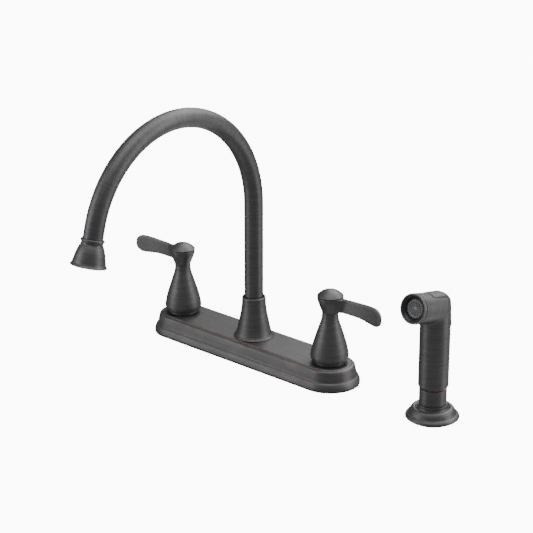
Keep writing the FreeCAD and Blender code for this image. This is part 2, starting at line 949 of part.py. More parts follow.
def make_stem(side, sign):
    """Spindle that turns in the cartridge and carries the handle on its upper part."""
    hole = s.screw_radius + s.fit
    turned(side + "_stem", [
        (0.0, s.stem_bottom),
        (s.stem_radius, s.stem_bottom),
        (s.stem_radius, s.stem_shoulder),
        (s.spline_radius, s.stem_shoulder + 0.3),
        (s.spline_radius, s.web_bottom),
        (hole, s.web_bottom),
        (hole, s.stem_shoulder),
        (0.0, s.stem_shoulder),
    ], x=s.handle_offset * sign)


def make_screw(side, sign):
    top = s.web_top + s.screw_head_height
    body = turned(side + "_handle_screw", [
        (0.0, s.screw_bottom),
        (s.screw_radius, s.screw_bottom),
        (s.screw_radius, s.web_top),
        (s.screw_head, s.web_top),
        (s.screw_head, top - 0.8),
        (s.screw_head - 0.8, top, 0.8),
        (0.0, top),
    ], x=s.handle_offset * sign)
    slot = new_sketch(body, "XY_Plane", z=top)
    half = s.screw_slot / 2.0
    draw(slot, [
        (-s.screw_head - 1.0, -half),
        (s.screw_head + 1.0, -half),
        (s.screw_head + 1.0, half),
        (-s.screw_head - 1.0, half),
    ])
    pocket(body, slot, 1.2, both_ways=False)


def dome_radius(half_width, rise):
    """Radius of the dome that rises so far over so wide a rim, level at its top."""
    return (half_width * half_width + rise * rise) / (rise * 2.0)


def make_cap(side, sign):
    """Domed cap that plugs into the hub and hides the screw."""
    bottom = s.handle_top + s.cap_gap
    rim = bottom + s.cap_rim
    plug = s.cap_socket - 0.1
    wall = s.cap_wall
    edge = s.cap_radius - 0.4
    outer_rise = s.cap_top - rim - 0.3
    inner_rise = s.cap_top - wall - rim - 1.6
    turned(side + "_cap", [
        (plug - wall, s.handle_top - s.cap_plug_depth),
        (plug, s.handle_top - s.cap_plug_depth),
        (plug, bottom),
        (s.cap_radius, bottom),
        (s.cap_radius, rim),
        (edge, rim + 0.3, 0.4),
        (0.0, s.cap_top, dome_radius(edge, outer_rise)),
        (0.0, s.cap_top - wall),
        (plug - wall, rim + 1.6, -dome_radius(plug - wall, inner_rise)),
    ], x=s.handle_offset * sign)


# ---------------------------------------------------------------- spout

def make_spout_cone():
    """Cone nut that screws on the post and keeps the spout down."""
    foot = s.plate_top
    thread = s.post_radius + s.fit
    lip_top = s.cone_lip_bottom + s.cone_lip_thick
    turned("spout_cone", [
        (s.cone_skirt + 2.0, foot),
        (s.cone_foot, foot),
        (s.cone_foot, foot + s.cone_foot_height),
        (s.cone_instep, s.cone_instep_height, -8.5),
        (s.cone_flank, s.cone_flank_height, -50.0),
        (s.cone_waist, s.cone_waist_height),
        (s.cone_throat, s.cone_throat_height, -87.0),
        (s.cone_throat - 1.0, s.cone_top, 1.9),
        (s.cone_bore, s.cone_top),
        (s.cone_bore, lip_top),
        (s.cone_lip, lip_top),
        (s.cone_lip, s.cone_lip_bottom),
        (thread, s.cone_lip_bottom),
        (thread, s.cone_thread_bottom),
        (s.cone_skirt - 0.3, s.cone_thread_bottom - 2.0),
    ])


def make_glide_ring():
    turned("spout_glide_ring", ring_steps(
        s.cone_lip - 0.2, s.post_radius, s.sleeve_flange_top + 0.1, s.cone_lip_bottom,
    ))


def make_spout_tube():
    """Riser, one wide bend over towards the user and a short tail, all one tube."""
    body = new_body("spout_tube")
    path = new_sketch(body, "YZ_Plane")
    top = s.riser_top
    bend = s.bend_radius
    turn = s.bend_angle
    centre = FreeCAD.Vector(-bend.value, top.value, 0)
    arc_end = (bend * cosine(turn) - bend, top + bend * sine(turn))
    tail_end = (arc_end[0] - s.tube_tail * sine(turn), arc_end[1] + s.tube_tail * cosine(turn))
    spots = [FreeCAD.Vector(x.value, y.value, 0) for x, y in (arc_end, tail_end)]
    base = FreeCAD.Vector(0, s.tube_bottom.value, 0)
    knee = FreeCAD.Vector(0, top.value, 0)
    riser = path.addGeometry(Part.LineSegment(base, knee), False)
    circle_of_bend = Part.Circle(centre, FreeCAD.Vector(0, 0, 1), bend.value)
    arc = path.addGeometry(Part.ArcOfCircle(circle_of_bend, 0.0, math.radians(turn.value)), False)
    tail = path.addGeometry(Part.LineSegment(spots[0], spots[1]), False)
    path.addConstraint(Sketcher.Constraint("Coincident", riser, 2, arc, 1))
    path.addConstraint(Sketcher.Constraint("Coincident", arc, 2, tail, 1))
    pin_point(path, riser, 1, as_dim(0.0), s.tube_bottom)
    pin_point(path, riser, 2, as_dim(0.0), top)
    bind(path, "Radius", (arc,), bend)
    pin_point(path, arc, 2, *arc_end)
    pin_point(path, tail, 2, *tail_end)
    section = new_sketch(body, "XY_Plane", z=s.tube_bottom)
    circle(section, 0.0, 0.0, s.tube_radius)
    circle(section, 0.0, 0.0, s.tube_bore)
    pipe = body.newObject("PartDesign::AdditivePipe", "spout_pipe")
    pipe.Profile = section
    pipe.Spine = (path, [""])
    document.recompute()


def make_spout_sleeve():
    """Bearing sleeve brazed to the riser, with grooves for two seals."""
    bore = s.tube_radius + 0.025
    outside = s.post_bore - 0.08
    half = s.seal_height / 2.0
    steps = [(bore, s.sleeve_bottom), (outside, s.sleeve_bottom)]
    for height in (s.seal_low, s.seal_high):
        steps += [
            (outside, height - half),
            (s.seal_root, height - half),
            (s.seal_root, height + half),
            (outside, height + half),
        ]
    steps += [
        (outside, s.post_top + s.fit),
        (s.sleeve_flange, s.post_top + s.fit),
        (s.sleeve_flange, s.sleeve_flange_top),
        (bore, s.sleeve_flange_top),
    ]
    turned("spout_sleeve", steps)


def make_seals():
    """Two seal rings in the sleeve's grooves."""
    body = new_body("spout_seal_rings")
    half = s.seal_height / 2.0 - 0.05
    outside = s.post_bore - 0.04
    for height in (s.seal_low, s.seal_high):
        sketch = new_sketch(body, "XZ_Plane")
        draw(sketch, [
            (s.seal_root, height - half),
            (outside - 0.25, height - half),
            (outside, height - half * 0.5),
            (outside, height + half * 0.5),
            (outside - 0.25, height + half),
            (s.seal_root, height + half),
        ])
        revolve(body, sketch)
    body.AllowCompound = True


def bend_end():
    """Where the bend ends and the tail starts."""
    return (s.bend_radius * cosine(s.bend_angle) - s.bend_radius,
            s.riser_top + s.bend_radius * sine(s.bend_angle))


def make_spout_bell():
    wall = s.mouth_wall
    bore = s.tube_radius + 0.05
    y, z = bend_end()
    turned("spout_bell", [
        (bore, s.mouth_start),
        (s.mouth_bead, s.mouth_start),
        (s.mouth_bead, s.mouth_bead_end, 1.6),
        (s.mouth_neck, s.mouth_neck_at, -3.5),
        (s.mouth_breast, s.mouth_breast_at, 36.0),
        (s.mouth_flank, s.mouth_flank_at),
        (s.mouth_lip, s.mouth_lip_at, -6.0),
        (s.mouth_lip - 0.5, s.mouth_end, 0.8),
        (s.mouth_lip - wall, s.mouth_end),
        (s.mouth_flank - wall, s.mouth_flank_at),
        (s.mouth_breast - wall, s.mouth_breast_at),
        (s.mouth_neck, s.mouth_neck_at + 3.0),
        (bore, s.mouth_neck_at + 0.6),
    ], y=y, z=z, lean=s.bend_angle)


def make_aerator_housing():
    y, z = bend_end()
    turned("aerator_housing", [
        (s.aerator_neck_bore, s.mouth_start + 1.0),
        (s.aerator_neck, s.mouth_start + 1.0),
        (s.aerator_neck, s.tube_tail + 0.1),
        (s.tube_radius - 0.1, s.tube_tail + 0.1),
        (s.tube_radius - 0.1, s.aerator_start + 0.3),
        (s.aerator_radius, s.aerator_start + 0.8),
        (s.aerator_radius, s.aerator_end),
        (s.aerator_bore, s.aerator_end),
        (s.aerator_bore, s.aerator_start + 1.5),
        (s.aerator_neck_bore, s.aerator_start + 1.5),
    ], y=y, z=z, lean=s.bend_angle)


def make_aerator_insert():
    """Disc with a ring of holes that mixes air into the stream."""
    y, z = bend_end()
    body = turned("aerator_insert", [
        (0.0, s.insert_start),
        (s.aerator_bore - 0.1, s.insert_start),
        (s.aerator_bore - 0.1, s.insert_end),
        (0.0, s.insert_end),
    ], y=y, z=z, lean=s.bend_angle)
    hole = new_sketch(body, "XY_Plane", z=s.insert_start)
    circle(hole, s.insert_ring, 0.0, s.insert_hole)
    around(body, pocket(body, hole), HOLES_IN_INSERT)


# ---------------------------------------------------------------- sprayer holder

def make_holder():
    """Escutcheon with two beads, a threaded shank through the deck and a plain lead below a relief."""
    gasket = s.holder_gasket
    lead_top = s.holder_end + s.holder_lead_length
    relief = s.holder_lead - s.relief_depth
    turned("sprayer_holder", [
        (s.holder_bore, s.holder_end),
        (s.holder_lead, s.holder_end),
        (s.holder_lead, lead_top),
        (relief, lead_top),
        (relief, lead_top + s.relief_width),
        (s.holder_shank, lead_top + s.relief_width),
        (s.holder_shank, gasket),
        (s.holder_foot, gasket),
        (s.holder_brim, s.holder_brim_height, 6.0),
        (s.holder_brim - 0.6, s.holder_cone_height, 1.4),
        (s.holder_step, s.holder_step_height),
        (s.holder_step - 0.4, s.holder_step_height + 0.3),
        (s.holder_bead, s.holder_bead_height, 3.6),
        (s.holder_lip + 0.5, s.holder_bead_height + 0.5),
        (s.holder_lip - 0.9, s.holder_top, 2.2),
        (s.holder_bore, s.holder_top),
    ], x=s.sprayer_offset)


def make_holder_gasket():
    turned("holder_gasket", ring_steps(
        s.holder_shank + 0.3, s.holder_foot + 0.2, as_dim(0.0), s.holder_gasket,
    ), x=s.sprayer_offset)


def make_holder_nut():
    body = new_body("holder_nut", x=s.sprayer_offset)
    sketch = new_sketch(body, "XY_Plane", z=s.holder_nut_top - s.holder_nut_height)
    draw(sketch, hexagon(s.holder_nut_flats))
    circle(sketch, 0.0, 0.0, s.holder_shank + s.fit)
    pad(body, sketch, s.holder_nut_height)


# ---------------------------------------------------------------- sprayer

def make_grip_collar():
    """Collar that rests on the holder, with a tapered tail below and a spigot above."""
    rest = s.holder_top + s.fit
    turned("sprayer_collar", [
        (s.inlet_socket, s.grip_tail_bottom),
        (s.grip_tail_end, s.grip_tail_bottom),
        (s.grip_tail, rest),
        (s.grip_collar, rest),
        (s.grip_collar, s.grip_collar_top),
        (s.spigot_radius, s.grip_collar_top),
        (s.spigot_radius, s.spigot_top),
        (s.spigot_bore, s.spigot_top),
        (s.spigot_bore, s.inlet_top),
        (s.inlet_socket, s.inlet_top),
    ], x=s.sprayer_offset)


def make_hose_inlet():
    """Screwed-in inlet with a ribbed end for the hose."""
    end = s.inlet_end
    rib = s.nipple_rib
    turned("hose_inlet", [
        (s.inlet_bore, end),
        (s.inlet_nipple - rib, end),
        (s.inlet_nipple, end + 3.0),
        (s.inlet_nipple - rib, end + 3.0),
        (s.inlet_nipple, end + 6.0),
        (s.inlet_nipple, s.grip_tail_bottom + 1.0),
        (s.inlet_socket - 0.1, s.grip_tail_bottom + 1.0),
        (s.inlet_socket - 0.1, s.inlet_top),
        (s.inlet_bore, s.inlet_top),
    ], x=s.sprayer_offset)


def head_sketch(body):
    """Sketch whose upright axis is the barrel's, pointing out of the mouth."""
    return new_sketch(body, "YZ_Plane", y=s.head_height, turn=as_dim(90.0) - s.head_tilt)


def arch_waste(radius):
    """What lies above a half circle, as wide and as high as the circle twice over."""
    far = radius * 2.0
    return [
        (radius, 0.0, -radius),
        (far, 0.0),
        (far, far),
        (-far, far),
        (-far, 0.0),
        (-radius, 0.0),
        (0.0, radius, -radius),
    ]


def make_sprayer_body():
    """Upright grip that turns over into the tilted barrel, hollowed for water, trigger and face."""
    body = new_body("sprayer_body", x=s.sprayer_offset)
    head = s.head_radius
    barrel = head_sketch(body)
    draw(barrel, [
        (0.0, -head - 4.0),
        (head, -head - 4.0),
        (head, s.head_end - 0.4),
        (head - 0.4, s.head_end),
        (0.0, s.head_end),
    ])
    revolve(body, barrel)
    behind = new_sketch(body, "XY_Plane")
    draw(behind, arch_waste(head))
    pocket(body, behind)
    corner = new_sketch(body, "YZ_Plane")
    low = s.head_height + 5.0
    draw(corner, [
        (head, low, -s.corner_radius),
        (head * 2.0, low),
        (head * 2.0, low + head),
        (head - s.corner_radius, low + head),
        (head - s.corner_radius, low + s.corner_radius - 0.4),
    ])
    pocket(body, corner)
    grip = new_sketch(body, "XZ_Plane")
    draw(grip, [
        (0.0, s.grip_bottom),
        (s.grip_collar - 0.1, s.grip_bottom),
        (s.grip_radius, s.grip_bottom + s.grip_chamfer),
        (s.grip_radius, s.grip_taper_height),
        (head, s.head_height - 5.0, 240.0),
        (head, s.head_height),
        (0.0, s.head_height),
    ])
    revolve(body, grip)
    bore = new_sketch(body, "XZ_Plane")
    socket = s.spigot_radius + 0.1
    draw(bore, [
        (0.0, s.grip_bottom - 1.0),
        (socket, s.grip_bottom - 1.0),
        (socket, s.spigot_top + 2.0),
        (s.grip_bore, s.spigot_top + 4.0),
        (s.grip_bore, s.grip_bore_top),
        (0.0, s.grip_bore_top),
    ])
    groove(body, bore)
    mouth = head_sketch(body)
    stem = s.face_stem + s.fit
    draw(mouth, [
        (0.0, -s.head_channel),
        (s.head_channel, -s.head_channel),
        (s.head_channel, s.head_web),
        (stem, s.head_web),
        (stem, s.head_recess_floor),
        (s.head_recess, s.head_recess_floor),
        (s.head_recess, s.head_end + 1.0),
        (0.0, s.head_end + 1.0),
    ])
    groove(body, mouth)
    seat = new_sketch(body, "YZ_Plane")
    slope = s.corner_radius / 2.0
    front = s.trigger_front - s.pocket_margin
    draw(seat, [
        (front, s.pocket_top),
        (s.pocket_back - slope, s.pocket_top),
        (s.pocket_back, s.pocket_top - slope),
        (s.pocket_back, s.pocket_bottom),
        (head * 2.0, s.pocket_bottom),
        (head * 2.0, s.head_height + head * 2.0),
        (front, s.head_height + head * 2.0),
    ])
    pocket(body, seat, (s.trigger_half + s.play) * 2.0)
    guide = new_sketch(body, "XZ_Plane")
    circle(guide, 0.0, s.plunger_height, s.plunger_radius + s.fit)
    pocket(body, guide, s.pocket_back + 1.0, both_ways=False)
    pin = new_sketch(body, "YZ_Plane")
    circle(pin, 0.0, s.pivot_height, s.pin_radius + 0.02)
    pocket(body, pin, s.pin_half * 2.0)


def make_nozzle_ring():
    """Ring screwed into the barrel's mouth round the spray face."""
    ring = s.head_radius
    spigot = s.head_recess - 0.1
    start = s.nozzle_start
    end = s.nozzle_end
    turned("nozzle_ring", [
        (s.nozzle_bore, s.head_recess_floor + 1.5),
        (spigot, s.head_recess_floor + 1.5),
        (spigot, start),
        (ring - 0.5, start),
        (ring, start + 0.5),
        (ring, end - s.nozzle_round),
        (s.nozzle_lip, end, 4.5),
        (s.nozzle_lip - 0.4, end),
        (s.nozzle_bore, end - s.nozzle_bevel, -4.0),
    ], x=s.sprayer_offset, z=s.head_height, lean=as_dim(90.0) - s.head_tilt)


def make_spray_face():
    """Spray face on its stem: radial slots across it and a ring of teeth round its rim."""
    body = turned("spray_face", [
        (0.0, s.head_web + 0.2),
        (s.face_stem, s.head_web + 0.2),
        (s.face_stem, s.head_recess_floor + 0.05),
        (s.face_radius - 2.5, s.head_recess_floor + 0.05),
        (s.face_radius - 2.5, s.face_start - 1.0),
        (s.face_radius, s.face_start + 0.5),
        (s.face_radius, s.face_end - 0.4),
        (s.face_radius - 0.4, s.face_end),
        (0.0, s.face_end),
    ], x=s.sprayer_offset, z=s.head_height, lean=as_dim(90.0) - s.head_tilt)
    tooth = new_sketch(body, "XY_Plane", z=s.face_end - 2.4)
    half = s.face_slot / 2.0
    draw(tooth, [
        (s.face_radius - 0.8, -half),
        (s.face_radius + s.face_tooth, -half),
        (s.face_radius + s.face_tooth, half),
        (s.face_radius - 0.8, half),
    ])
    around(body, pad(body, tooth, 1.8), FACE_TEETH)
    slot = new_sketch(body, "XY_Plane", z=s.face_end)
    draw(slot, [
        (s.face_slot_start, -half * 0.6),
        (s.face_slot_end, -half),
        (s.face_slot_end, half),
        (s.face_slot_start, half * 0.6),
    ])
    around(body, pocket(body, slot, s.face_slot_depth, both_ways=False), FACE_SLOTS)


def make_trigger():
    """Thumb lever over the head's back corner, hung on a cross pin."""
    body = new_body("trigger", x=s.sprayer_offset)
    lug = s.pivot_lug
    back = s.trigger_back
    inner = s.trigger_inner
    under = s.trigger_under
    corner = s.head_height + s.corner_height
    high = s.head_height + s.head_radius + 3.0
    side = new_sketch(body, "YZ_Plane")
    draw(side, [
        (s.trigger_front, under),
        (-lug, under - 0.6, 1.2),
        (-lug, s.pivot_height),
        (0.0, s.pivot_height - lug, lug),
        (lug, s.pivot_height, lug),
        (lug, under),
        (inner - 3.0, under - 0.5),
        (inner, under - 3.5, -3.0),
        (inner, s.trigger_bottom + 0.8),
        (inner + 1.2, s.trigger_bottom),
        (back - 1.2, s.trigger_bottom),
        (back, s.trigger_bottom + 1.2, 1.2),
        (back, corner),
        (back - s.corner_radius, corner + s.corner_radius, s.corner_radius),
        (back - s.corner_radius, high),
        (s.trigger_front, high),
    ])
    pad(body, side, s.trigger_half * 2.0, both_ways=True)
    plan = new_sketch(body, "XY_Plane")
    draw(plan, arch_waste(back))
    pocket(body, plan)
    crown = new_sketch(body, "XZ_Plane", y=s.head_height)
    crown.AttachmentOffset = FreeCAD.Placement(
        crown.AttachmentOffset.Base, FreeCAD.Rotation(FreeCAD.Vector(-1, 0, 0), s.head_tilt.value))
    crown.setExpression("AttachmentOffset.Rotation.Angle", s.head_tilt.text)
    draw(crown, arch_waste(s.head_radius + s.crown_rise))
    pocket(body, crown)
    hole = new_sketch(body, "YZ_Plane")
    circle(hole, 0.0, s.pivot_height, s.pin_radius + s.fit)
    pocket(body, hole)


def make_trigger_pin():
    body = new_body("trigger_pin", x=s.sprayer_offset)
    sketch = new_sketch(body, "YZ_Plane")
    circle(sketch, 0.0, s.pivot_height, s.pin_radius)
    pad(body, sketch, s.pin_half * 2.0, both_ways=True)


def make_plunger():
    """Valve plunger that the trigger pushes forwards."""
    turned("valve_plunger", [
        (0.0, s.plunger_tail_end),
        (s.plunger_tail, s.plunger_tail_end),
        (s.plunger_tail, 0.0),
        (s.plunger_disc, 0.0),
        (s.plunger_disc, s.plunger_disc_thick),
        (s.plunger_radius, s.plunger_disc_thick),
        (s.plunger_radius, s.plunger_end - 0.5),
        (s.plunger_radius - 0.5, s.plunger_end),
        (0.0, s.plunger_end),
    ], x=s.sprayer_offset, z=s.plunger_height, lean=-90.0)


def make_plunger_spring():
    """Small coil spring behind the plunger's disc, a round wire wound about the plunger's tail."""
    body = new_body("plunger_spring", x=s.sprayer_offset, y=s.spring_start, z=s.plunger_height, lean=-90.0)
    wire = new_sketch(body, "XZ_Plane")
    circle(wire, s.spring_radius, 0.0, s.spring_wire)
    coil = body.newObject("PartDesign::AdditiveHelix", "plunger_coil")
    coil.Profile = wire
    coil.ReferenceAxis = (wire, ["V_Axis"])
    coil.Mode = "height-turns-angle"
    set_size(coil, "Height", s.spring_length)
    set_size(coil, "Turns", s.spring_turns)


# ---------------------------------------------------------------- the whole faucet

def make_everything():
    make_deck_plate()
    make_deck_gasket()
    make_waterway()
    make_diverter()
    make_spray_outlet_nipple()
    for side, sign in (("hot", -1.0), ("cold", 1.0)):
        make_valve_body(side, sign)
        make_cartridge(side, sign)
        make_bonnet_nut(side, sign)
        make_lock_washer(side, sign)
        make_lock_nut(side, sign)
        make_foot_ring(side, sign)
        make_bell(side, sign)
        make_stem(side, sign)
        make_handle(side, sign)
        make_screw(side, sign)
        make_cap(side, sign)
    make_spout_cone()
    make_glide_ring()
    make_spout_tube()
    make_spout_sleeve()
    make_seals()
    make_spout_bell()
    make_aerator_housing()
    make_aerator_insert()
    make_holder()
    make_holder_gasket()
    make_holder_nut()
    make_grip_collar()
    make_hose_inlet()
    make_sprayer_body()
    make_nozzle_ring()
    make_spray_face()
    make_trigger()
    make_trigger_pin()
    make_plunger()
    make_plunger_spring()
    document.recompute()


def check_everything():
    """Stop if any object failed or any piece has no sound shape."""
    for item in document.Objects:
        if "Invalid" in item.State or "Error" in item.State:
            raise RuntimeError("%s failed: %s" % (item.Label, item.State))
    pieces = [item for item in document.Objects if item.TypeId == "PartDesign::Body"]
    for item in pieces:
        if item.Shape.isNull() or not item.Shape.isValid() or not item.Shape.Solids:
            raise RuntimeError("%s has no sound shape" % item.Label)
    return pieces


make_everything()
os.makedirs("parts", exist_ok=True)
for piece in check_everything():
    piece.Shape.exportStep("parts/%s.step" % piece.Label)
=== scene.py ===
import json
import math

import bmesh
import bpy
import numpy as np
from mathutils import Matrix, Vector


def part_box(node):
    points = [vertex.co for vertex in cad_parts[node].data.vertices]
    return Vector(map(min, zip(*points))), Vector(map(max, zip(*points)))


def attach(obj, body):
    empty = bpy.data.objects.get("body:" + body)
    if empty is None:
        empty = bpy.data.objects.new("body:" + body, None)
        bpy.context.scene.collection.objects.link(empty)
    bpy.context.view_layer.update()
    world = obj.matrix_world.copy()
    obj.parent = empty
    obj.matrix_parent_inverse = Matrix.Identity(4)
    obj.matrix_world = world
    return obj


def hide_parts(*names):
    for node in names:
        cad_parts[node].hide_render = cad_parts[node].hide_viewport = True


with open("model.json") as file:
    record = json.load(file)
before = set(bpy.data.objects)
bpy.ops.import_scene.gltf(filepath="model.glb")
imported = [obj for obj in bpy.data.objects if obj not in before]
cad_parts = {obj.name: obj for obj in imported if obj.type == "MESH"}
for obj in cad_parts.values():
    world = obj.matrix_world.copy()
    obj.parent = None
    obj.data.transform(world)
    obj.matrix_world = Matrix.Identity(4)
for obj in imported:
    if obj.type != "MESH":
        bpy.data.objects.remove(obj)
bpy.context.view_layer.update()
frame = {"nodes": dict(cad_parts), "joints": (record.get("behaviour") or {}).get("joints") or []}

# Shapes are worked out in millimetres in the row frame and become metres in the mesh.
MM = 0.001
FULL_TURN = 2.0 * math.pi

# points round a turned piece, and round a tube or a thread
ROUND = 128
TUBE_ROUND = 96

# outlines: spacing of the raw points, softening of the corners, and the bend (in radians) or the
# length that one kept point may stand for
DENSE = 0.06
CORNER = 0.22
KEPT_BEND = 0.075
KEPT_LENGTH = 2.5

# edge mark, worn metal and on the cast pieces also a painted highlight: the bend per millimetre of
# a fully marked edge, the share of it below which none shows, how far it spreads from the edge and
# how much it gains there
FULL_WEAR = 1.6
NO_WEAR = 0.08
WEAR_SPREAD = 0.2
WEAR_GAIN = 1.5


# ------------------------------------------------------------------ places and main sizes

def joint_place(name):
    """The point that a joint turns about, in millimetres."""
    joint = [item for item in frame["joints"] if item["name"] == name][0]
    return np.array(joint["pos_m"]) / MM


HANDLE = float(joint_place("cold_turn")[0])
SPRAYER = float(joint_place("sprayer_turn")[0])
PLATE_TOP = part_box("deck_plate")[1][2] / MM

# spout: a riser, one bend and a tail
TUBE = 9.525
RISER_FOOT = 30.0
RISER_TOP = 162.8
BEND = 107.6
BEND_ANGLE = math.radians(165.0)
BEND_END = np.array([0.0, BEND * math.cos(BEND_ANGLE) - BEND,
                     RISER_TOP + BEND * math.sin(BEND_ANGLE)])
TAIL = 16.5

# sprayer: the barrel's axis crosses the grip's at the head's height and tilts up to the front
GRIP = 14.4
HEAD = 112.2
HEAD_TILT = math.radians(13.8)
HEAD_LEAN = math.pi / 2.0 - HEAD_TILT
ELBOW_CORNER = 11.0

# the soft bend under the barrel: its radius and the place of its centre
CROOK = 3.0
CROOK_Y = -(GRIP + CROOK)
CROOK_Z = HEAD + (GRIP + CROOK) * (math.sin(HEAD_TILT) - 1.0) / math.cos(HEAD_TILT)

# trigger: half width, front edge, radii of its crown, corner and back, how much less its crown
# tilts than the barrel, its inner wall at the back, over the top and round the corner, its foot
# and its pin
TRIGGER_HALF = 8.0
TRIGGER_FRONT = -13.0
TRIGGER_CROWN = 14.75
TRIGGER_CORNER = 14.5
TRIGGER_BACK = 15.3
TRIGGER_LESS = 0.06
INNER_BACK = 11.3
INNER_TOP = 27.32
INNER_CORNER = 9.0
TRIGGER_FOOT = 92.0
PIN_HEIGHT = 120.5

# the trigger's pocket: half width, room before the trigger's front edge, where it starts on the
# grip, its floor at the back, on the slope, under the top, at the step, in its shallow part and on
# the barrel, and where it ends there
POCKET_HALF = 8.55
POCKET_ROOM = 1.2
POCKET_FOOT = 89.8
POCKET_BACK = 8.0
POCKET_SLOPE = 121.0
POCKET_LEVEL = 117.5
POCKET_STEP = -4.4
POCKET_SHALLOW = 26.8
POCKET_BARREL = 8.4
POCKET_END = 17.88


# ------------------------------------------------------------------ outlines

def arc_points(start, end, radius):
    """Points on the short arc from start to end, turning left when the radius is positive."""
    chord = end - start
    length = np.hypot(*chord)
    left = np.array([-chord[1], chord[0]]) / length
    rise = math.sqrt(max(radius * radius - length * length / 4.0, 0.0))
    centre = (start + end) / 2.0 + left * math.copysign(rise, radius)
    first = math.atan2(*(start - centre)[::-1])
    last = math.atan2(*(end - centre)[::-1])
    turn = (last - first) % FULL_TURN
    if radius < 0:
        turn -= FULL_TURN
    count = max(int(abs(turn * radius) / DENSE), 2)
    angles = first + turn * np.arange(1, count + 1) / count
    return centre + abs(radius) * np.stack([np.cos(angles), np.sin(angles)], axis=1)


def line_points(start, end):
    """Points on the straight side from start to end."""
    count = max(int(np.hypot(*(end - start)) / DENSE), 2)
    return start + (end - start) * (np.arange(1, count + 1) / count)[:, None]


def smooth(values, width, closed):
    """Running average with a bell-shaped weight along the outline.

    An open outline is carried on past each end by its own half turn about that end, so its ends
    stay put.
    """
    reach = max(int(3 * width / DENSE), 1)
    weight = np.exp(-0.5 * (np.arange(-reach, reach + 1) * DENSE / width) ** 2)
    weight /= weight.sum()
    if closed:
        padded = np.concatenate([values[-reach:], values, values[:reach]])
    else:
        before = 2.0 * values[0] - values[1:reach + 1][::-1]
        after = 2.0 * values[-1] - values[-reach - 1:-1][::-1]
        padded = np.concatenate([before, values, after])
    return np.stack([np.convolve(column, weight, "valid") for column in padded.T], axis=1)


def outline(steps, closed=True, corner=CORNER):
    """Outline of (radius, height) steps with softened corners, thinned where it runs straight.

    A third number in a step bends its side into an arc of that radius.  Returns the points, the
    distance along them, and the edge mark: how sharply the outline turns outwards there, from 0 to
    1.  It shows as wear, and on the cast pieces also as a painted highlight.
    """
    spots = [np.array(step[:2], dtype=float) for step in steps]
    parts = [] if closed else [spots[0][None, :]]
    for i in range(0 if closed else 1, len(steps)):
        start, end = spots[i - 1], spots[i]
        arc = len(steps[i]) > 2
        parts.append(arc_points(start, end, steps[i][2]) if arc else line_points(start, end))
    points = smooth(np.concatenate(parts), corner, closed)
    ahead = np.roll(points, -1, axis=0) - points
    if not closed:
        ahead[-1] = ahead[-2]
    length = np.hypot(ahead[:, 0], ahead[:, 1])
    heading = np.arctan2(ahead[:, 1], ahead[:, 0])
    turn = (heading - np.roll(heading, 1) + math.pi) % FULL_TURN - math.pi
    if not closed:
        turn[0] = 0.0
    sharp = np.clip(turn / np.maximum(length, 1e-6) / FULL_WEAR - NO_WEAR, 0.0, 1.0)
    wear_and_painted_light = np.clip(smooth(sharp[:, None], WEAR_SPREAD, closed)[:, 0] * WEAR_GAIN, 0.0, 1.0)
    along = np.concatenate([[0.0], np.cumsum(length)[:-1]])
    keep = [0]
    bend = 0.0
    for i in range(1, len(points)):
        bend += abs(turn[i])
        far = along[i] - along[keep[-1]] > KEPT_LENGTH
        if bend > KEPT_BEND or far or (not closed and i == len(points) - 1):
            keep.append(i)
            bend = 0.0
    return points[keep], along[keep], wear_and_painted_light[keep]


# ------------------------------------------------------------------ surfaces

def round_angles(count):
    """Angles of one full turn, evenly spaced."""
    return np.arange(count) * FULL_TURN / count


def points_of(x, y, z):
    """Rows by columns of points, each coordinate spread over the whole grid."""
    return np.stack(np.broadcast_arrays(x, y, z), axis=2)


def placed(points, place, lean=0.0):
    """Lean a surface about X, then move it to its place."""
    c, s = math.cos(lean), math.sin(lean)
    turn = np.array([[1.0, 0.0, 0.0], [0.0, c, -s], [0.0, s, c]])
    return points @ turn.T + np.array(place, dtype=float)


def grid(points, grain, wear_and_painted_light=0.0, wrap_rows=False):
    """One surface: its points, its grain coordinates and its mark of wear and painted light.  Its
    columns close round.
    """
    wear_and_painted_light = np.broadcast_to(wear_and_painted_light, points.shape[:2]).copy()
    return {"points": points, "grain": grain, "wear_and_painted_light": wear_and_painted_light, "wrap_rows": wrap_rows}


def grid_faces(rows, columns, wrap_rows, first):
    """Quads between neighbouring rows and columns, facing outwards.

    A quad's front is where the way along the columns, crossed with the way along the rows, points
    to, so each surface has its columns run the way that makes this outwards.
    """
    i, j = np.meshgrid(np.arange(rows if wrap_rows else rows - 1), np.arange(columns),
                       indexing="ij")
    after_i = (i + 1) % rows
    after_j = (j + 1) % columns
    corners = [i * columns + j, i * columns + after_j, after_i * columns + after_j,
               after_i * columns + j]
    return np.stack([corner.ravel() for corner in corners], axis=1) + first


def close_poles(mesh):
    """Join the points that meet on an axis and drop the faces that vanish there."""
    work = bmesh.new()
    work.from_mesh(mesh)
    bmesh.ops.remove_doubles(work, verts=work.verts, dist=1e-7)
    bmesh.ops.dissolve_degenerate(work, edges=work.edges, dist=1e-8)
    work.to_mesh(mesh)
    work.free()


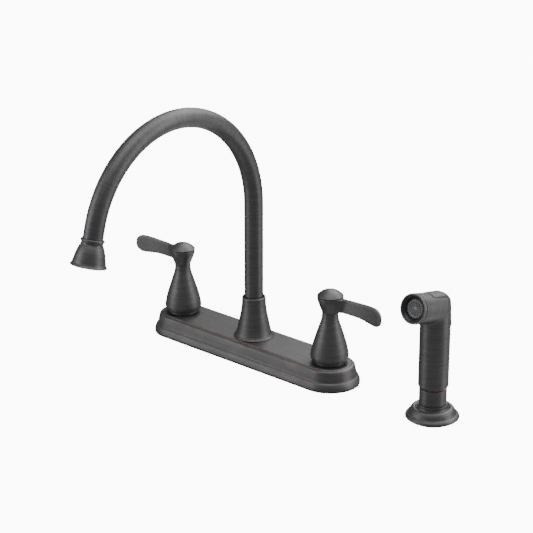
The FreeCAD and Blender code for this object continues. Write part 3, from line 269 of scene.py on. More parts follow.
def piece(name, grids, material, body, slot, *nodes):
    """Make one object of its surfaces, put it on a body and let it stand for CAD nodes."""
    faces = []
    first = 0
    for item in grids:
        rows, columns = item["points"].shape[:2]
        faces.append(grid_faces(rows, columns, item["wrap_rows"], first))
        first += rows * columns
    points = np.concatenate([item["points"].reshape(-1, 3) for item in grids]) * MM
    grain = np.concatenate([item["grain"].reshape(-1, 3) for item in grids])
    wear_and_painted_light = np.concatenate([item["wear_and_painted_light"].reshape(-1) for item in grids])
    mesh = bpy.data.meshes.new(name)
    mesh.from_pydata(points.tolist(), [], np.concatenate(faces).tolist())
    mesh.attributes.new("grain", "FLOAT_VECTOR", "POINT").data.foreach_set("vector", grain.ravel())
    mesh.attributes.new("wear_and_painted_light", "FLOAT", "POINT").data.foreach_set("value", wear_and_painted_light)
    close_poles(mesh)
    mesh.shade_smooth()
    mesh.materials.append(material)
    item = bpy.data.objects.new(name, mesh)
    bpy.context.scene.collection.objects.link(item)
    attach(item, body)
    if nodes:
        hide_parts(*nodes)


def turned(steps, place=(0.0, 0.0, 0.0), lean=0.0, closed=True, rubbed_and_lit=1.0):
    """Surface of revolution: every outline point (r, z) goes round to (r cos a, r sin a, z).

    The grain runs round the axis, so its first two numbers go with the angle and its third with
    the distance along the outline.  The last argument is the share of the edge mark that shows:
    worn metal, and on the cast pieces also a painted highlight.
    """
    points, along, wear_and_painted_light = outline(steps, closed)
    angle = round_angles(ROUND)
    radius = np.maximum(points[:, 0], 0.0)[:, None]
    surface = points_of(radius * np.cos(angle), radius * np.sin(angle), points[:, 1][:, None])
    grain = points_of(surface[:, :, 0], surface[:, :, 1], along[:, None])
    return grid(placed(surface, place, lean), grain, (wear_and_painted_light * rubbed_and_lit)[:, None], closed)


def threaded(radius, bottom, top, pitch, depth, place):
    """Screw thread: radius less depth times half of one minus the cosine of the helix's phase.

    The phase is a full turn for each pitch of height and each turn round the axis.  The radius
    falls away over the first and last pitch, so the thread runs out into the shank.  A plain inner
    wall closes it.
    """
    rows_per_pitch = 8
    wall = 0.4
    z = np.linspace(bottom, top, int((top - bottom) / pitch * rows_per_pitch))
    angle = round_angles(TUBE_ROUND)
    phase = FULL_TURN * z[:, None] / pitch - angle
    runout = np.clip(np.minimum(z - bottom, top - z) / pitch, 0.0, 1.0)[:, None]
    r = radius - depth * (1.0 - runout * (0.5 + 0.5 * np.cos(phase)))
    inner = np.full((1, TUBE_ROUND), radius - depth - wall)
    r = np.concatenate([inner, r, inner])
    height = np.concatenate([z[:1], z, z[-1:]])[:, None]
    surface = points_of(r * np.cos(angle), r * np.sin(angle), height)
    return grid(placed(surface, place), surface, wrap_rows=True)


# ------------------------------------------------------------------ materials

def new_material(name):
    """A node material, with its tree and its main shader."""
    material = bpy.data.materials.new(name)
    material.use_nodes = True
    tree = material.node_tree
    return material, tree, tree.nodes["Principled BSDF"]


def node(tree, kind, **settings):
    """A new shader node with these settings."""
    item = tree.nodes.new(kind)
    for key, value in settings.items():
        setattr(item, key, value)
    return item


def stretched_noise(tree, source, stretch, detail=3.0, rough=0.55):
    """Noise whose coordinates are scaled differently along and across the grain."""
    mapping = node(tree, "ShaderNodeMapping")
    mapping.inputs["Scale"].default_value = stretch
    noise = node(tree, "ShaderNodeTexNoise")
    noise.inputs["Scale"].default_value = 1.0
    noise.inputs["Detail"].default_value = detail
    noise.inputs["Roughness"].default_value = rough
    tree.links.new(source, mapping.inputs["Vector"])
    tree.links.new(mapping.outputs["Vector"], noise.inputs["Vector"])
    return noise.outputs["Fac"]


def remap(tree, value, low, high, out_low=0.0, out_high=1.0):
    """Straight remap of a value, held within its new range."""
    item = node(tree, "ShaderNodeMapRange")
    ends = ("From Min", "From Max", "To Min", "To Max")
    for end, number in zip(ends, (low, high, out_low, out_high)):
        item.inputs[end].default_value = number
    tree.links.new(value, item.inputs["Value"])
    return item.outputs["Result"]


def combine(tree, operation, first, second):
    """One step of arithmetic on two values."""
    item = node(tree, "ShaderNodeMath", operation=operation)
    tree.links.new(first, item.inputs[0])
    tree.links.new(second, item.inputs[1])
    return item.outputs[0]


def blend_colours(tree, factor, first, second):
    """Mix of two colours, each worked out by a node or plain."""
    item = node(tree, "ShaderNodeMix", data_type="RGBA")
    tree.links.new(factor, item.inputs["Factor"])
    for socket, value in ((item.inputs[6], first), (item.inputs[7], second)):
        if isinstance(value, tuple):
            socket.default_value = value
        else:
            tree.links.new(value, socket)
    return item.outputs[2]


def roughen(tree, shader, height, strength, depth):
    """Raise the surface by a height, up to `depth` millimetres."""
    bump = node(tree, "ShaderNodeBump")
    bump.inputs["Strength"].default_value = strength
    bump.inputs["Distance"].default_value = depth * MM
    tree.links.new(height, bump.inputs["Height"])
    tree.links.new(bump.outputs["Normal"], shader.inputs["Normal"])


DARK_BRONZE = (0.112, 0.113, 0.117, 1.0)
PALE_BRONZE = (0.168, 0.167, 0.169, 1.0)
COPPER = (0.40, 0.23, 0.16, 1.0)
# pale grey of the cast pieces' edges: worn metal, and also a painted highlight
WORN_AND_HIGHLIGHT_GREY = (0.36, 0.33, 0.30, 1.0)
DEEP_SHADE = (0.006, 0.006, 0.008, 1.0)


def oiled_bronze(name, roughness=0.5, streaks=1.0, flecks=1.0, edge=COPPER):
    """Near-black bronze with fine turned streaks, faint copper flecks and worn metal on its edges;
    with a pale edge colour that edge is also a painted highlight.

    Every pattern is noise on the piece's own grain, which is stretched along the turned streaks.
    """
    material, tree, shader = new_material(name)
    source = node(tree, "ShaderNodeAttribute", attribute_name="grain").outputs["Vector"]
    wear_and_painted_light = node(tree, "ShaderNodeAttribute", attribute_name="wear_and_painted_light").outputs["Fac"]
    fine = stretched_noise(tree, source, (0.045, 0.045, 3.2), 4.0, 0.7)
    broad = stretched_noise(tree, source, (0.02, 0.02, 0.55))
    cloud = stretched_noise(tree, source, (0.06, 0.06, 0.05))
    specks = stretched_noise(tree, source, (0.22, 0.22, 2.6), 2.0)
    patches = stretched_noise(tree, source, (0.09, 0.09, 0.12), 2.0)

    low, high = 0.25 - 0.25 * streaks, 0.25 + 0.25 * streaks
    streak = combine(tree, "ADD", remap(tree, fine, 0.3, 0.7, low, high),
                     remap(tree, broad, 0.35, 0.65, low, high))
    tone = blend_colours(tree, streak, DARK_BRONZE, PALE_BRONZE)
    fleck = combine(tree, "MULTIPLY", remap(tree, specks, 0.56, 0.68),
                    remap(tree, patches, 0.45, 0.62, 0.0, 0.3 * flecks))
    tone = blend_colours(tree, fleck, tone, COPPER)
    rubbed_and_lit = combine(tree, "MULTIPLY", wear_and_painted_light, remap(tree, patches, 0.38, 0.6, 0.05, 0.5))
    # edge colour laid on by the edge mark: worn metal, and with the pale grey also a painted
    # highlight
    tone = blend_colours(tree, rubbed_and_lit, tone, edge)
    tree.links.new(tone, shader.inputs["Base Color"])
    shader.inputs["Metallic"].default_value = 1.0
    rough = combine(tree, "ADD", remap(tree, fine, 0.3, 0.7, -0.03, 0.04),
                    remap(tree, cloud, 0.3, 0.7, roughness - 0.03, roughness + 0.03))
    tree.links.new(rough, shader.inputs["Roughness"])
    roughen(tree, shader, fine, 0.12 * streaks, 0.02)
    return material


def dull_black(name, shade, roughness, scale, sunk=False):
    """Black rubber or plastic with a fine uneven surface, with painted shade where it is sunk."""
    material, tree, shader = new_material(name)
    coordinates = node(tree, "ShaderNodeTexCoord").outputs["Object"]
    mottle = stretched_noise(tree, coordinates, (scale,) * 3)
    pale = tuple(c * 1.7 for c in shade[:3]) + (1.0,)
    tone = blend_colours(tree, mottle, shade, pale)
    if sunk:
        depth = node(tree, "ShaderNodeAttribute", attribute_name="wear_and_painted_light").outputs["Fac"]
        # painted shade: the sunk slots and gaps are darkened towards DEEP_SHADE
        tone = blend_colours(tree, depth, tone, DEEP_SHADE)
    tree.links.new(tone, shader.inputs["Base Color"])
    rough = remap(tree, mottle, 0.3, 0.7, roughness - 0.06, roughness + 0.06)
    tree.links.new(rough, shader.inputs["Roughness"])
    roughen(tree, shader, mottle, 0.2, 0.03)
    return material


def plain_metal(name, colour, roughness, scale):
    """Machined brass or steel with fine tool marks."""
    material, tree, shader = new_material(name)
    coordinates = node(tree, "ShaderNodeTexCoord").outputs["Object"]
    marks = stretched_noise(tree, coordinates, (scale * 0.1, scale * 0.1, scale))
    pale = tuple(min(c * 1.2, 1.0) for c in colour[:3]) + (1.0,)
    tree.links.new(blend_colours(tree, marks, colour, pale), shader.inputs["Base Color"])
    rough = remap(tree, marks, 0.3, 0.7, roughness - 0.07, roughness + 0.07)
    tree.links.new(rough, shader.inputs["Roughness"])
    shader.inputs["Metallic"].default_value = 1.0
    return material


BRONZE = oiled_bronze("oiled_bronze")
# cast pieces: their pale edges are worn metal and a painted highlight
CAST_BRONZE = oiled_bronze("cast_bronze", roughness=0.48, streaks=0.3, flecks=0.15, edge=WORN_AND_HIGHLIGHT_GREY)
CAP_BRONZE = oiled_bronze("cap_bronze", roughness=0.5, streaks=0.3, flecks=0.0)
BLACK_PLASTIC = dull_black("black_plastic", (0.018, 0.018, 0.02, 1.0), 0.42, 900.0)
FOOT_PLASTIC = dull_black("foot_plastic", (0.055, 0.056, 0.06, 1.0), 0.45, 900.0)
# spray face: grey plastic, with painted shade in its slots and gaps
FACE_PLASTIC = dull_black("face_plastic", (0.17, 0.172, 0.178, 1.0), 0.4, 900.0, sunk=True)
DISH_PLASTIC = dull_black("dish_plastic", (0.02, 0.023, 0.029, 1.0), 0.3, 900.0)
BLACK_RUBBER = dull_black("black_rubber", (0.022, 0.021, 0.021, 1.0), 0.65, 700.0)
BRASS = plain_metal("turned_brass", (0.72, 0.53, 0.26, 1.0), 0.3, 3000.0)
STEEL = plain_metal("turned_steel", (0.55, 0.55, 0.56, 1.0), 0.3, 3000.0)


# ------------------------------------------------------------------ deck plate

def plate_surface():
    """Stadium: each outline point (r, z) goes round the segment between the handles, at distance r.

    The path is a half circle about each handle's centre, joined by straight sides, so a point at
    distance t along it lies at centre + r (cos a, sin a), with the centre held on the segment.
    """
    steps = [
        (0.0, PLATE_TOP - 2.2), (20.4, PLATE_TOP - 2.2), (22.8, 17.0), (24.4, 9.4), (26.6, 6.4),
        (28.2, 1.7), (30.6, 1.7), (28.75, 7.2, 11.0), (28.4, 8.0), (26.8, 10.3, -3.0),
        (25.2, 18.2, 40.0), (23.2, 20.25, 2.3), (22.4, 20.5), (21.4, PLATE_TOP, 1.1),
        (0.0, PLATE_TOP),
    ]
    points, along, wear_and_painted_light = outline(steps, closed=False, corner=0.28)
    bend = np.linspace(-math.pi / 2.0, math.pi / 2.0, 49)
    side = np.linspace(HANDLE, -HANDLE, 41)[1:-1]
    centre = np.concatenate([np.full(len(bend), HANDLE), side, np.full(len(bend), -HANDLE), -side])
    angle = np.concatenate([bend, np.full(len(side), math.pi / 2.0), bend + math.pi,
                            np.full(len(side), -math.pi / 2.0)])
    radius = points[:, 0][:, None]
    surface = points_of(centre + radius * np.cos(angle), radius * np.sin(angle),
                        points[:, 1][:, None])
    return grid(surface, points_of(surface[:, :, 0], 40.0, along[:, None]), wear_and_painted_light[:, None])


def make_plate():
    """The cover of the deck plate."""
    piece("plate_cover", [plate_surface()], BRONZE, "base", "bronze_finish", "deck_plate")


# ------------------------------------------------------------------ handles

# hub's side from foot to rim, as (radius, height)
HUB_SIDE = ((8.15, 73.5), (8.2, 74.2), (9.3, 77.3), (11.9, 84.0), (13.0, 89.2))

# lever: reach of its root, of the end of its fillets, of where its tip starts to round and of its
# end, the blade's thickness, and the radii of its fillets at the back and the front
LEVER_ROOT = 5.0
FILLETS_END = 20.0
TIP_START = 56.0
LEVER_END = 66.35
BLADE = 3.6
BACK_FILLET = 14.0
FRONT_FILLET = 15.0

# the blade's shallow bow: its radius, and the reach and depth of its middle
BOW = 160.0
BOW_MIDDLE = 27.0
BOW_DEPTH = 1.8

# heights of the blade's edges, as (reach, height)
UPPER_EDGE = ((5.0, 89.3), (13.0, 90.3), (20.0, 90.8), (27.0, 91.2), (34.0, 91.5), (40.0, 91.9),
              (47.0, 92.4), (55.0, 92.7), (60.0, 92.6), (66.35, 92.1))
LOWER_EDGE = ((5.0, 73.7), (8.0, 73.9), (9.5, 74.8), (11.0, 75.6), (13.0, 76.0), (20.0, 76.2),
              (27.0, 76.2), (34.0, 76.2), (40.0, 75.9), (47.0, 75.0), (55.0, 74.2), (60.0, 74.1),
              (66.35, 74.3))


def bell_steps():
    """Hollow bell, from its rim on the foot ring up to its neck."""
    return [
        (14.8, 25.0), (17.6, 25.0), (18.45, 26.0, 1.3), (19.05, 29.6, 20.0), (15.0, 47.0, 100.0),
        (10.6, 60.7), (8.1, 73.2, -30.0), (6.4, 73.2), (6.4, 66.0), (13.4, 47.0), (16.9, 30.0),
        (14.8, 27.0),
    ]


def foot_steps():
    """Ring under the bell, with a step that centres it."""
    return [
        (12.7, PLATE_TOP), (15.5, PLATE_TOP), (15.5, 22.3), (15.0, 22.8), (15.0, 25.2),
        (12.7, 25.2),
    ]


def hub_steps():
    """Hub that flares up to the cap, with its bore."""
    foot, ledge, neck, flare, rim = HUB_SIDE
    return [
        (5.2, 73.5), foot, ledge, (*neck, -13.0), flare, (*rim, 22.0), (12.6, 90.0, 0.8),
        (9.3, 90.0), (9.3, 86.2), (5.2, 86.2),
    ]


def cap_steps():
    """Domed cap with a thin rim and a plug."""
    return [
        (0.0, 89.0), (9.1, 89.0), (9.1, 90.25), (12.9, 90.35), (13.1, 91.1), (12.7, 91.5, 0.5),
        (0.0, 97.4, 16.6),
    ]


def eased(pairs, at):
    """Smooth curve through (key, value) pairs.

    It is made of cubic pieces, whose slope at a key is a weighted mean of the slopes beside it.
    """
    keys, values = np.array(pairs).T
    slopes = np.gradient(values, keys)
    i = np.clip(np.searchsorted(keys, at) - 1, 0, len(keys) - 2)
    width = keys[i + 1] - keys[i]
    u = (at - keys[i]) / width
    return ((2 * u ** 3 - 3 * u ** 2 + 1) * values[i]
            + (u ** 3 - 2 * u ** 2 + u) * width * slopes[i]
            + (3 * u ** 2 - 2 * u ** 3) * values[i + 1]
            + (u ** 3 - u ** 2) * width * slopes[i + 1])


def hub_radius(height):
    """Radius of the hub at a height, for the fillets between it and the blade."""
    radii, heights = zip(*HUB_SIDE)
    return np.interp(height, heights, radii)


def fillet_width(reach, height, fillet):
    """Half width of the blade near the hub, seen from above.

    Beyond the fillet it is half the blade's thickness t.  In the fillet of radius f, whose centre
    lies t + f from the blade's middle and r + f from the hub's axis, it is t + f less the drop of
    that circle.  Inside the point where circle and hub touch it follows the hub, just under its
    skin.
    """
    thin = BLADE / 2.0
    r = hub_radius(height)
    centre = np.sqrt((r + fillet) ** 2 - (thin + fillet) ** 2)
    touch = centre * r / (r + fillet)
    drop = np.sqrt(np.maximum(fillet ** 2 - np.maximum(centre - reach, 0.0) ** 2, 0.0))
    under_skin = 0.25 * np.clip((touch - reach) / 1.5, 0.0, 1.0)
    hub = np.sqrt(np.maximum(r ** 2 - reach ** 2, 0.0)) - under_skin
    return np.where(reach < touch, hub, thin + fillet - drop)


def lever_surface(sign):
    """Blade standing on edge: its sections are rounded oblongs, carried along a shallow bow.

    A section at reach x is y = middle(x) + width(x, z) c, z = height(x) + tall(x) d, where (c, d)
    goes once round a squared circle.  The width is the fillet's near the hub.  Both sizes close
    over the tip as a squared circle does.
    """
    reach = np.concatenate([
        np.linspace(LEVER_ROOT, FILLETS_END, 50)[:-1], np.linspace(FILLETS_END, TIP_START, 40)[:-1],
        TIP_START + (LEVER_END - TIP_START) * np.sin(np.linspace(0.0, 0.5, 30) * math.pi)])
    reach[-1] = LEVER_END
    top, low = eased(UPPER_EDGE, reach), eased(LOWER_EDGE, reach)
    over = np.clip((reach - TIP_START) / (LEVER_END - TIP_START), 0.0, 1.0)
    tall = (top - low) / 2.0 * (1.0 - over ** 2.2) ** (1.0 / 2.2)
    turn = round_angles(72)
    square = 2.0 / 5.0
    c, d = [np.sign(way) * np.abs(way) ** square for way in (np.cos(turn), np.sin(turn))]
    z = ((top + low) / 2.0)[:, None] + tall[:, None] * d
    x = np.broadcast_to(reach[:, None], z.shape)
    closing = ((1.0 - over ** 7) ** (1.0 / 2.5))[:, None]
    width = np.where(c > 0, fillet_width(x, z, BACK_FILLET), fillet_width(x, z, FRONT_FILLET))
    bow = np.sqrt(BOW ** 2 - (reach - BOW_MIDDLE) ** 2) - BOW + BOW_DEPTH
    middle = (bow * np.clip((reach - 8.0) / 8.0, 0.0, 1.0))[:, None]
    y = middle + width * closing * c
    surface = points_of(x * sign, y, z)
    grain = points_of(x, y, z * 0.4)
    # pale edges near the tip, stronger on the upper edge: worn metal and a painted highlight along
    # the top
    near_tip = np.clip((reach - 44.0) / 16.0, 0.0, 1.0)[:, None]
    upper = np.clip(d * 1.5 + 0.6, 0.25, 1.0)
    wear_and_painted_light = np.clip(np.abs(d) ** 7, 0.0, 1.0) * upper * (0.1 + 0.75 * near_tip)
    root = np.broadcast_to(surface[:1].mean(axis=1, keepdims=True), surface[:1].shape)
    surface = np.concatenate([root, surface])
    grain, wear_and_painted_light = np.concatenate([grain[:1], grain]), np.concatenate([wear_and_painted_light[:1], wear_and_painted_light])
    if sign < 0:
        surface, grain, wear_and_painted_light = surface[:, ::-1], grain[:, ::-1], wear_and_painted_light[:, ::-1]
    return grid(placed(surface, (HANDLE * sign, 0.0, 0.0)), grain, wear_and_painted_light)


def make_handles():
    """Each side's fixed bell and foot, and its lever and cap, which turn."""
    for side, sign in (("hot", -1.0), ("cold", 1.0)):
        place = (HANDLE * sign, 0.0, 0.0)
        body = side + "_side"
        bell = turned(bell_steps(), place, rubbed_and_lit=0.25)
        foot = turned(foot_steps(), place)
        hub = turned(hub_steps(), place, rubbed_and_lit=0.1)
        cap = turned(cap_steps(), place, closed=False, rubbed_and_lit=0.2)
        piece(side + "_bell_skin", [bell], BRONZE, "base", "bronze_finish", side + "_bell")
        piece(side + "_foot", [foot], FOOT_PLASTIC, "base", "black_plastic", side + "_foot_ring")
        piece(side + "_handle_skin", [hub, lever_surface(sign)], CAST_BRONZE, body,
              "bronze_finish", side + "_handle")
        piece(side + "_cap_skin", [cap], CAP_BRONZE, body, "bronze_finish", side + "_cap")


# ------------------------------------------------------------------ spout

def cone_steps():
    """Hollow cone round the riser's foot, with a rounded top edge."""
    return [
        (17.5, PLATE_TOP), (20.6, PLATE_TOP), (20.7, 22.2), (17.7, 27.0, -8.5), (16.3, 33.0, -50.0),
        (13.6, 46.5), (12.1, 62.4, -87.0), (11.1, 64.3, 1.9), (10.7, 64.2), (10.4, 62.6),
        (10.4, 42.0), (15.0, 27.0),
    ]


def tube_surface():
    """Circle of the tube's radius carried along the spout's path.

    The path goes straight up, round the bend in the plane x = 0 and straight on.  Each ring stands
    square to the path: its points are path + radius (cos a X + sin a N), with N across the path.
    The first and last rings close on the path.
    """
    riser = np.concatenate([[RISER_FOOT], np.linspace(RISER_FOOT, RISER_TOP, 48)[:-1]])
    angle = np.linspace(0.0, BEND_ANGLE, 160)
    tail = np.concatenate([np.linspace(0.0, TAIL, 8)[1:], [TAIL]])
    heading = np.concatenate([np.zeros(len(riser)), angle, np.full(len(tail), BEND_ANGLE)])
    y = np.concatenate([np.zeros(len(riser)), BEND * np.cos(angle) - BEND,
                        BEND_END[1] - tail * math.sin(BEND_ANGLE)])
    z = np.concatenate([riser, RISER_TOP + BEND * np.sin(angle),
                        BEND_END[2] + tail * math.cos(BEND_ANGLE)])
    along = np.concatenate([[0.0], np.cumsum(np.hypot(np.diff(y), np.diff(z)))])
    turn = round_angles(TUBE_ROUND)
    radius = np.full((len(y), 1), TUBE)
    radius[[0, -1]] = 0.0
    aside = radius * np.cos(turn)
    out = radius * np.sin(turn)
    surface = points_of(aside, y[:, None] + out * np.cos(heading)[:, None],
                        z[:, None] + out * np.sin(heading)[:, None])
    return grid(surface, points_of(aside, out, along[:, None]))


def mouth_steps():
    """Flared mouth below the tube: a neck bead, a cove and a lip."""
    return [
        (9.5, 11.0), (10.6, 10.9), (10.6, 13.4, 1.55), (11.0, 17.0, -3.4), (13.7, 24.0, 36.0),
        (15.5, 32.0), (17.0, 35.4, -6.0), (16.5, 36.7, 0.8), (15.7, 36.6), (14.0, 32.0),
        (12.4, 24.0), (11.0, 20.0), (9.5, 17.6),
    ]


def aerator_steps():
    """Short housing inside the mouth, round the aerator."""
    return [(8.9, 21.0), (10.0, 21.0), (10.2, 28.6), (9.9, 29.1), (9.3, 29.1), (8.9, 28.6)]


def make_spout():
    """The fixed cone, and the tube, mouth and aerator housing, which swivel."""
    cone = turned(cone_steps(), rubbed_and_lit=0.12)
    mouth = turned(mouth_steps(), BEND_END, BEND_ANGLE)
    # the neck's bead stays dark, and the lip is rubbed through to copper
    neck = mouth["grain"][:, :, 2] < 9.0
    mouth["wear_and_painted_light"] *= np.where(neck, 0.1, 1.6)
    aerator = turned(aerator_steps(), BEND_END, BEND_ANGLE)
    piece("cone_skin", [cone], BRONZE, "base", "bronze_finish", "spout_cone")
    piece("tube_skin", [tube_surface()], BRONZE, "spout", "bronze_finish", "spout_tube")
    piece("mouth_skin", [mouth], BRONZE, "spout", "bronze_finish", "spout_bell")
    piece("aerator_skin", [aerator], BRONZE, "spout", "bronze_finish", "aerator_housing")


# ------------------------------------------------------------------ sprayer

# spray face: its radial slots and the gaps between its teeth, how many and how deep
SLOTS = 20
SLOT_DEPTH = 1.2
TEETH = 30
GAP_DEPTH = 1.1


def holder_steps():
    """Holder: hollow shank, flange with a shoulder, then a valley, a bead and a groove."""
    return [
        (12.2, -42.0), (14.0, -42.0), (14.0, -32.0), (13.4, -32.0), (13.4, -31.0), (13.5, 0.8),
        (21.2, 0.8), (25.6, 2.6, 6.0), (25.2, 4.9, 2.4), (23.4, 6.5, 4.0), (22.5, 7.2, -0.9),
        (22.0, 8.4), (20.5, 11.2, 7.0), (18.2, 12.9, 3.2), (16.0, 12.5, 2.8), (15.2, 11.9),
        (14.7, 12.3, -0.4), (14.2, 13.4), (14.1, 16.0), (12.4, 16.0), (12.2, 15.0),
    ]


def collar_steps():
    """Collar that sits in the holder, with the spigot that the grip turns on."""
    return [
        (8.0, 1.0), (11.4, 1.0), (11.9, 16.05), (12.9, 16.05), (13.1, 16.5), (13.1, 32.1),
        (6.9, 32.1), (6.9, 42.0), (4.6, 42.0), (4.6, 14.0), (8.0, 14.0),
    ]


def nozzle_steps():
    """Ring at the barrel's front, with a thin lip."""
    return [
        (11.0, 22.5), (12.3, 22.5), (12.3, 32.8), (14.0, 32.8), (14.4, 33.2), (14.4, 35.5),
        (14.0, 36.0, 0.5), (13.1, 36.0), (12.8, 35.3), (11.0, 29.5),
    ]


def dish_steps():
    """Hollow dish between the nozzle's lip and the spray face."""
    return [
        (9.8, 29.0), (10.8, 29.0), (12.65, 35.0), (12.7, 35.2), (12.2, 35.05), (11.7, 34.7),
        (10.9, 33.7), (10.0, 32.3), (9.8, 31.5),
    ]


def gaps_round(count, angle):
    """Even gaps round the axis: a cosine of count times the angle, made steep and clipped."""
    return np.clip(0.5 + 2.4 * np.cos(count * angle), 0.0, 1.0)


def spray_face_surface(head, lean):
    """Disc (r cos a, r sin a, k(r)) with its slots and the gaps of its teeth sunk along the axis.

    The slots lie between r = 1.9 and 7 and the gaps beyond r = 8.15.  Each is its depth times
    gaps_round, with steep ends.  The same mark paints shade there, so the plastic is darker in
    them.
    """
    a = round_angles(480)
    rows = [(0.0, 21.1), (6.0, 21.1), (6.0, 26.0), (8.6, 28.0), (9.35, 30.0), (9.4, 30.3),
            (9.4, 31.5), (9.33, 31.7), (9.15, 31.8), (8.6, 31.85), (8.2, 31.85), (8.1, 31.85),
            (8.05, 32.1), (7.95, 32.2), (7.45, 32.2), (7.3, 32.1), (7.25, 31.7), (7.15, 31.65)]
    rows += [(r, 31.8 - 0.02 * r)
             for r in (7.0, 6.9, 6.8, 6.0, 5.0, 4.0, 3.0, 2.4, 2.15, 2.0, 1.9, 1.7)]
    rows += [(1.5, 31.85), (1.4, 32.0), (1.1, 32.15), (0.6, 32.2), (0.0, 32.2)]
    r, k = np.array(rows).T[:, :, None]
    slots = np.clip((r - 1.9) / 0.25, 0.0, 1.0) * np.clip((7.0 - r) / 0.2, 0.0, 1.0)
    slots = slots * gaps_round(SLOTS, a)
    gaps = np.clip((r - 8.15) / 0.05, 0.0, 1.0) * np.clip((k - 30.2) / 0.1, 0.0, 1.0)
    gaps = gaps * gaps_round(TEETH, a)
    sunk = slots * SLOT_DEPTH + gaps * GAP_DEPTH * (k > 30.5)
    surface = points_of(r * np.cos(a), r * np.sin(a), k - sunk)
    # the slots and gaps pass on as the mark for their painted shade
    return grid(placed(surface, head, lean), surface, np.clip(slots + gaps, 0.0, 1.0))


def elbow_reach(swing, up, over, corner, tilt=HEAD_TILT):
    """Distance from the crook's centre out to a bent wall, at each swing from level.

    The wall is upright at distance `up`, tilts to the front at distance `over`, and turns from one
    to the other on an arc of radius `corner`.  The ray meets a line, the arc or the other line.
    """
    s, c = math.sin(tilt), math.cos(tilt)
    y = up - corner
    z = (over - corner - y * s) / c
    first = np.arctan2(z, up)
    last = np.arctan2(z + corner * c, y + corner * s)
    toward = y * np.cos(swing) + z * np.sin(swing)
    arc = toward + np.sqrt(np.maximum(corner ** 2 - y ** 2 - z ** 2 + toward ** 2, 0.0))
    upright = up / np.cos(swing)
    along_barrel = over / np.sin(swing + tilt)
    return np.where(swing < first, upright, np.where(swing > last, along_barrel, arc))


def pocket_reach(swing):
    """Distance from the crook's centre to the floor of the trigger's pocket, at each swing.

    The deep part is upright at the back, slopes over the corner, runs level under the top and ends
    at an upright step.  The shallow part before it follows the barrel's tilt up to the pocket's
    front.
    """
    s, c = np.sin(swing), np.cos(swing)
    back = (POCKET_BACK - CROOK_Y) / c
    slope = (POCKET_SLOPE - CROOK_Y - CROOK_Z) / (s + c)
    level = (POCKET_LEVEL - CROOK_Z) / np.maximum(s, 1e-6)
    step = (POCKET_STEP - CROOK_Y) / c
    deep = np.maximum(step, np.minimum(np.minimum(back, slope), level))
    front = (TRIGGER_FRONT - POCKET_ROOM - CROOK_Y) / c
    shallow = np.maximum(front, POCKET_SHALLOW / np.sin(swing + HEAD_TILT))
    return np.minimum(deep, shallow)


def sprayer_surface():
    """Grip and barrel in one: a circle carried up the grip, round the elbow and along the barrel.

    Ring points are at x = r cos a, and r sin a backwards or upwards of the path.  Round the elbow
    the ring lies in a plane through the crook's centre, and its points lie at elbow_reach from
    there.  Across the pocket's width the back and top are lowered to the pocket's floor, as far
    as POCKET_END on the barrel.
    """
    side = math.acos(POCKET_HALF / GRIP)
    over_pocket = np.linspace(side, math.pi - side, 33)
    round_front = np.linspace(math.pi - side, FULL_TURN + side, 113)
    a = np.concatenate([over_pocket, round_front])
    in_pocket = np.arange(len(a)) < len(over_pocket)

    grip = [(0.0, 44.0), (7.0, 44.0), (7.0, 32.5), (12.8, 32.5), (13.1, 32.62), (13.3, 32.9),
            (14.2, 34.9), (14.38, 35.3), (14.4, 35.8)]
    grip += [(GRIP, z) for z in np.linspace(37.5, POCKET_FOOT, 22)]
    beside_pocket = [(GRIP, z) for z in (POCKET_FOOT, *np.linspace(92.0, CROOK_Z, 4))]
    rings = []
    for group, floor in ((grip, np.inf), (beside_pocket, POCKET_BACK)):
        r, z = np.array(group).T[:, :, None]
        y = r * np.sin(a)
        rings.append(points_of(r * np.cos(a), np.where(in_pocket, np.minimum(y, floor), y), z))

    swing = np.linspace(0.0, HEAD_LEAN, 200)[1:, None]
    wall = CROOK + GRIP * (1.0 + np.sin(a))
    corner = CROOK + (ELBOW_CORNER - CROOK) * (1.0 + np.sin(a)) / 2.0
    reach = elbow_reach(swing, wall, wall, corner)
    reach = np.where(in_pocket, np.minimum(reach, pocket_reach(swing)), reach)
    rings.append(points_of(GRIP * np.cos(a), CROOK_Y + reach * np.cos(swing),
                           CROOK_Z + reach * np.sin(swing)))

    barrel = [(GRIP, k) for k in (14.2, 15.2, 16.3, 17.8, 17.86, 17.9, 17.95, 19.0, 21.5, 24.0,
                                  27.0, 30.0, 31.9)]
    barrel += [(14.36, 32.1), (14.25, 32.28), (14.05, 32.38), (13.8, 32.4), (12.5, 32.4),
               (12.4, 32.2), (12.4, 21.2), (12.2, 21.0), (0.0, 21.0)]
    r, k = np.array(barrel).T[:, :, None]
    height = r * np.sin(a)
    lowered = in_pocket & (k < POCKET_END)
    height = np.where(lowered, np.minimum(height, POCKET_BARREL), height)
    rings.append(placed(points_of(r * np.cos(a), height, k), (0.0, 0.0, HEAD), HEAD_LEAN))

    surface = np.concatenate(rings)
    front = surface[:, len(over_pocket) + 20]
    along = np.concatenate([[0.0], np.cumsum(np.linalg.norm(np.diff(front, axis=0), axis=1))])
    grain = points_of(GRIP * np.cos(a), GRIP * np.sin(a), along[:, None])
    # the grip's lower edge is rubbed, and the barrel's front edge a little
    wear_and_painted_light = np.zeros((len(surface), 1))
    wear_and_painted_light[5:7] = 0.5
    wear_and_painted_light[-10:-6] = 0.12
    return grid(placed(surface, (SPRAYER, 0.0, 0.0)), grain, wear_and_painted_light)


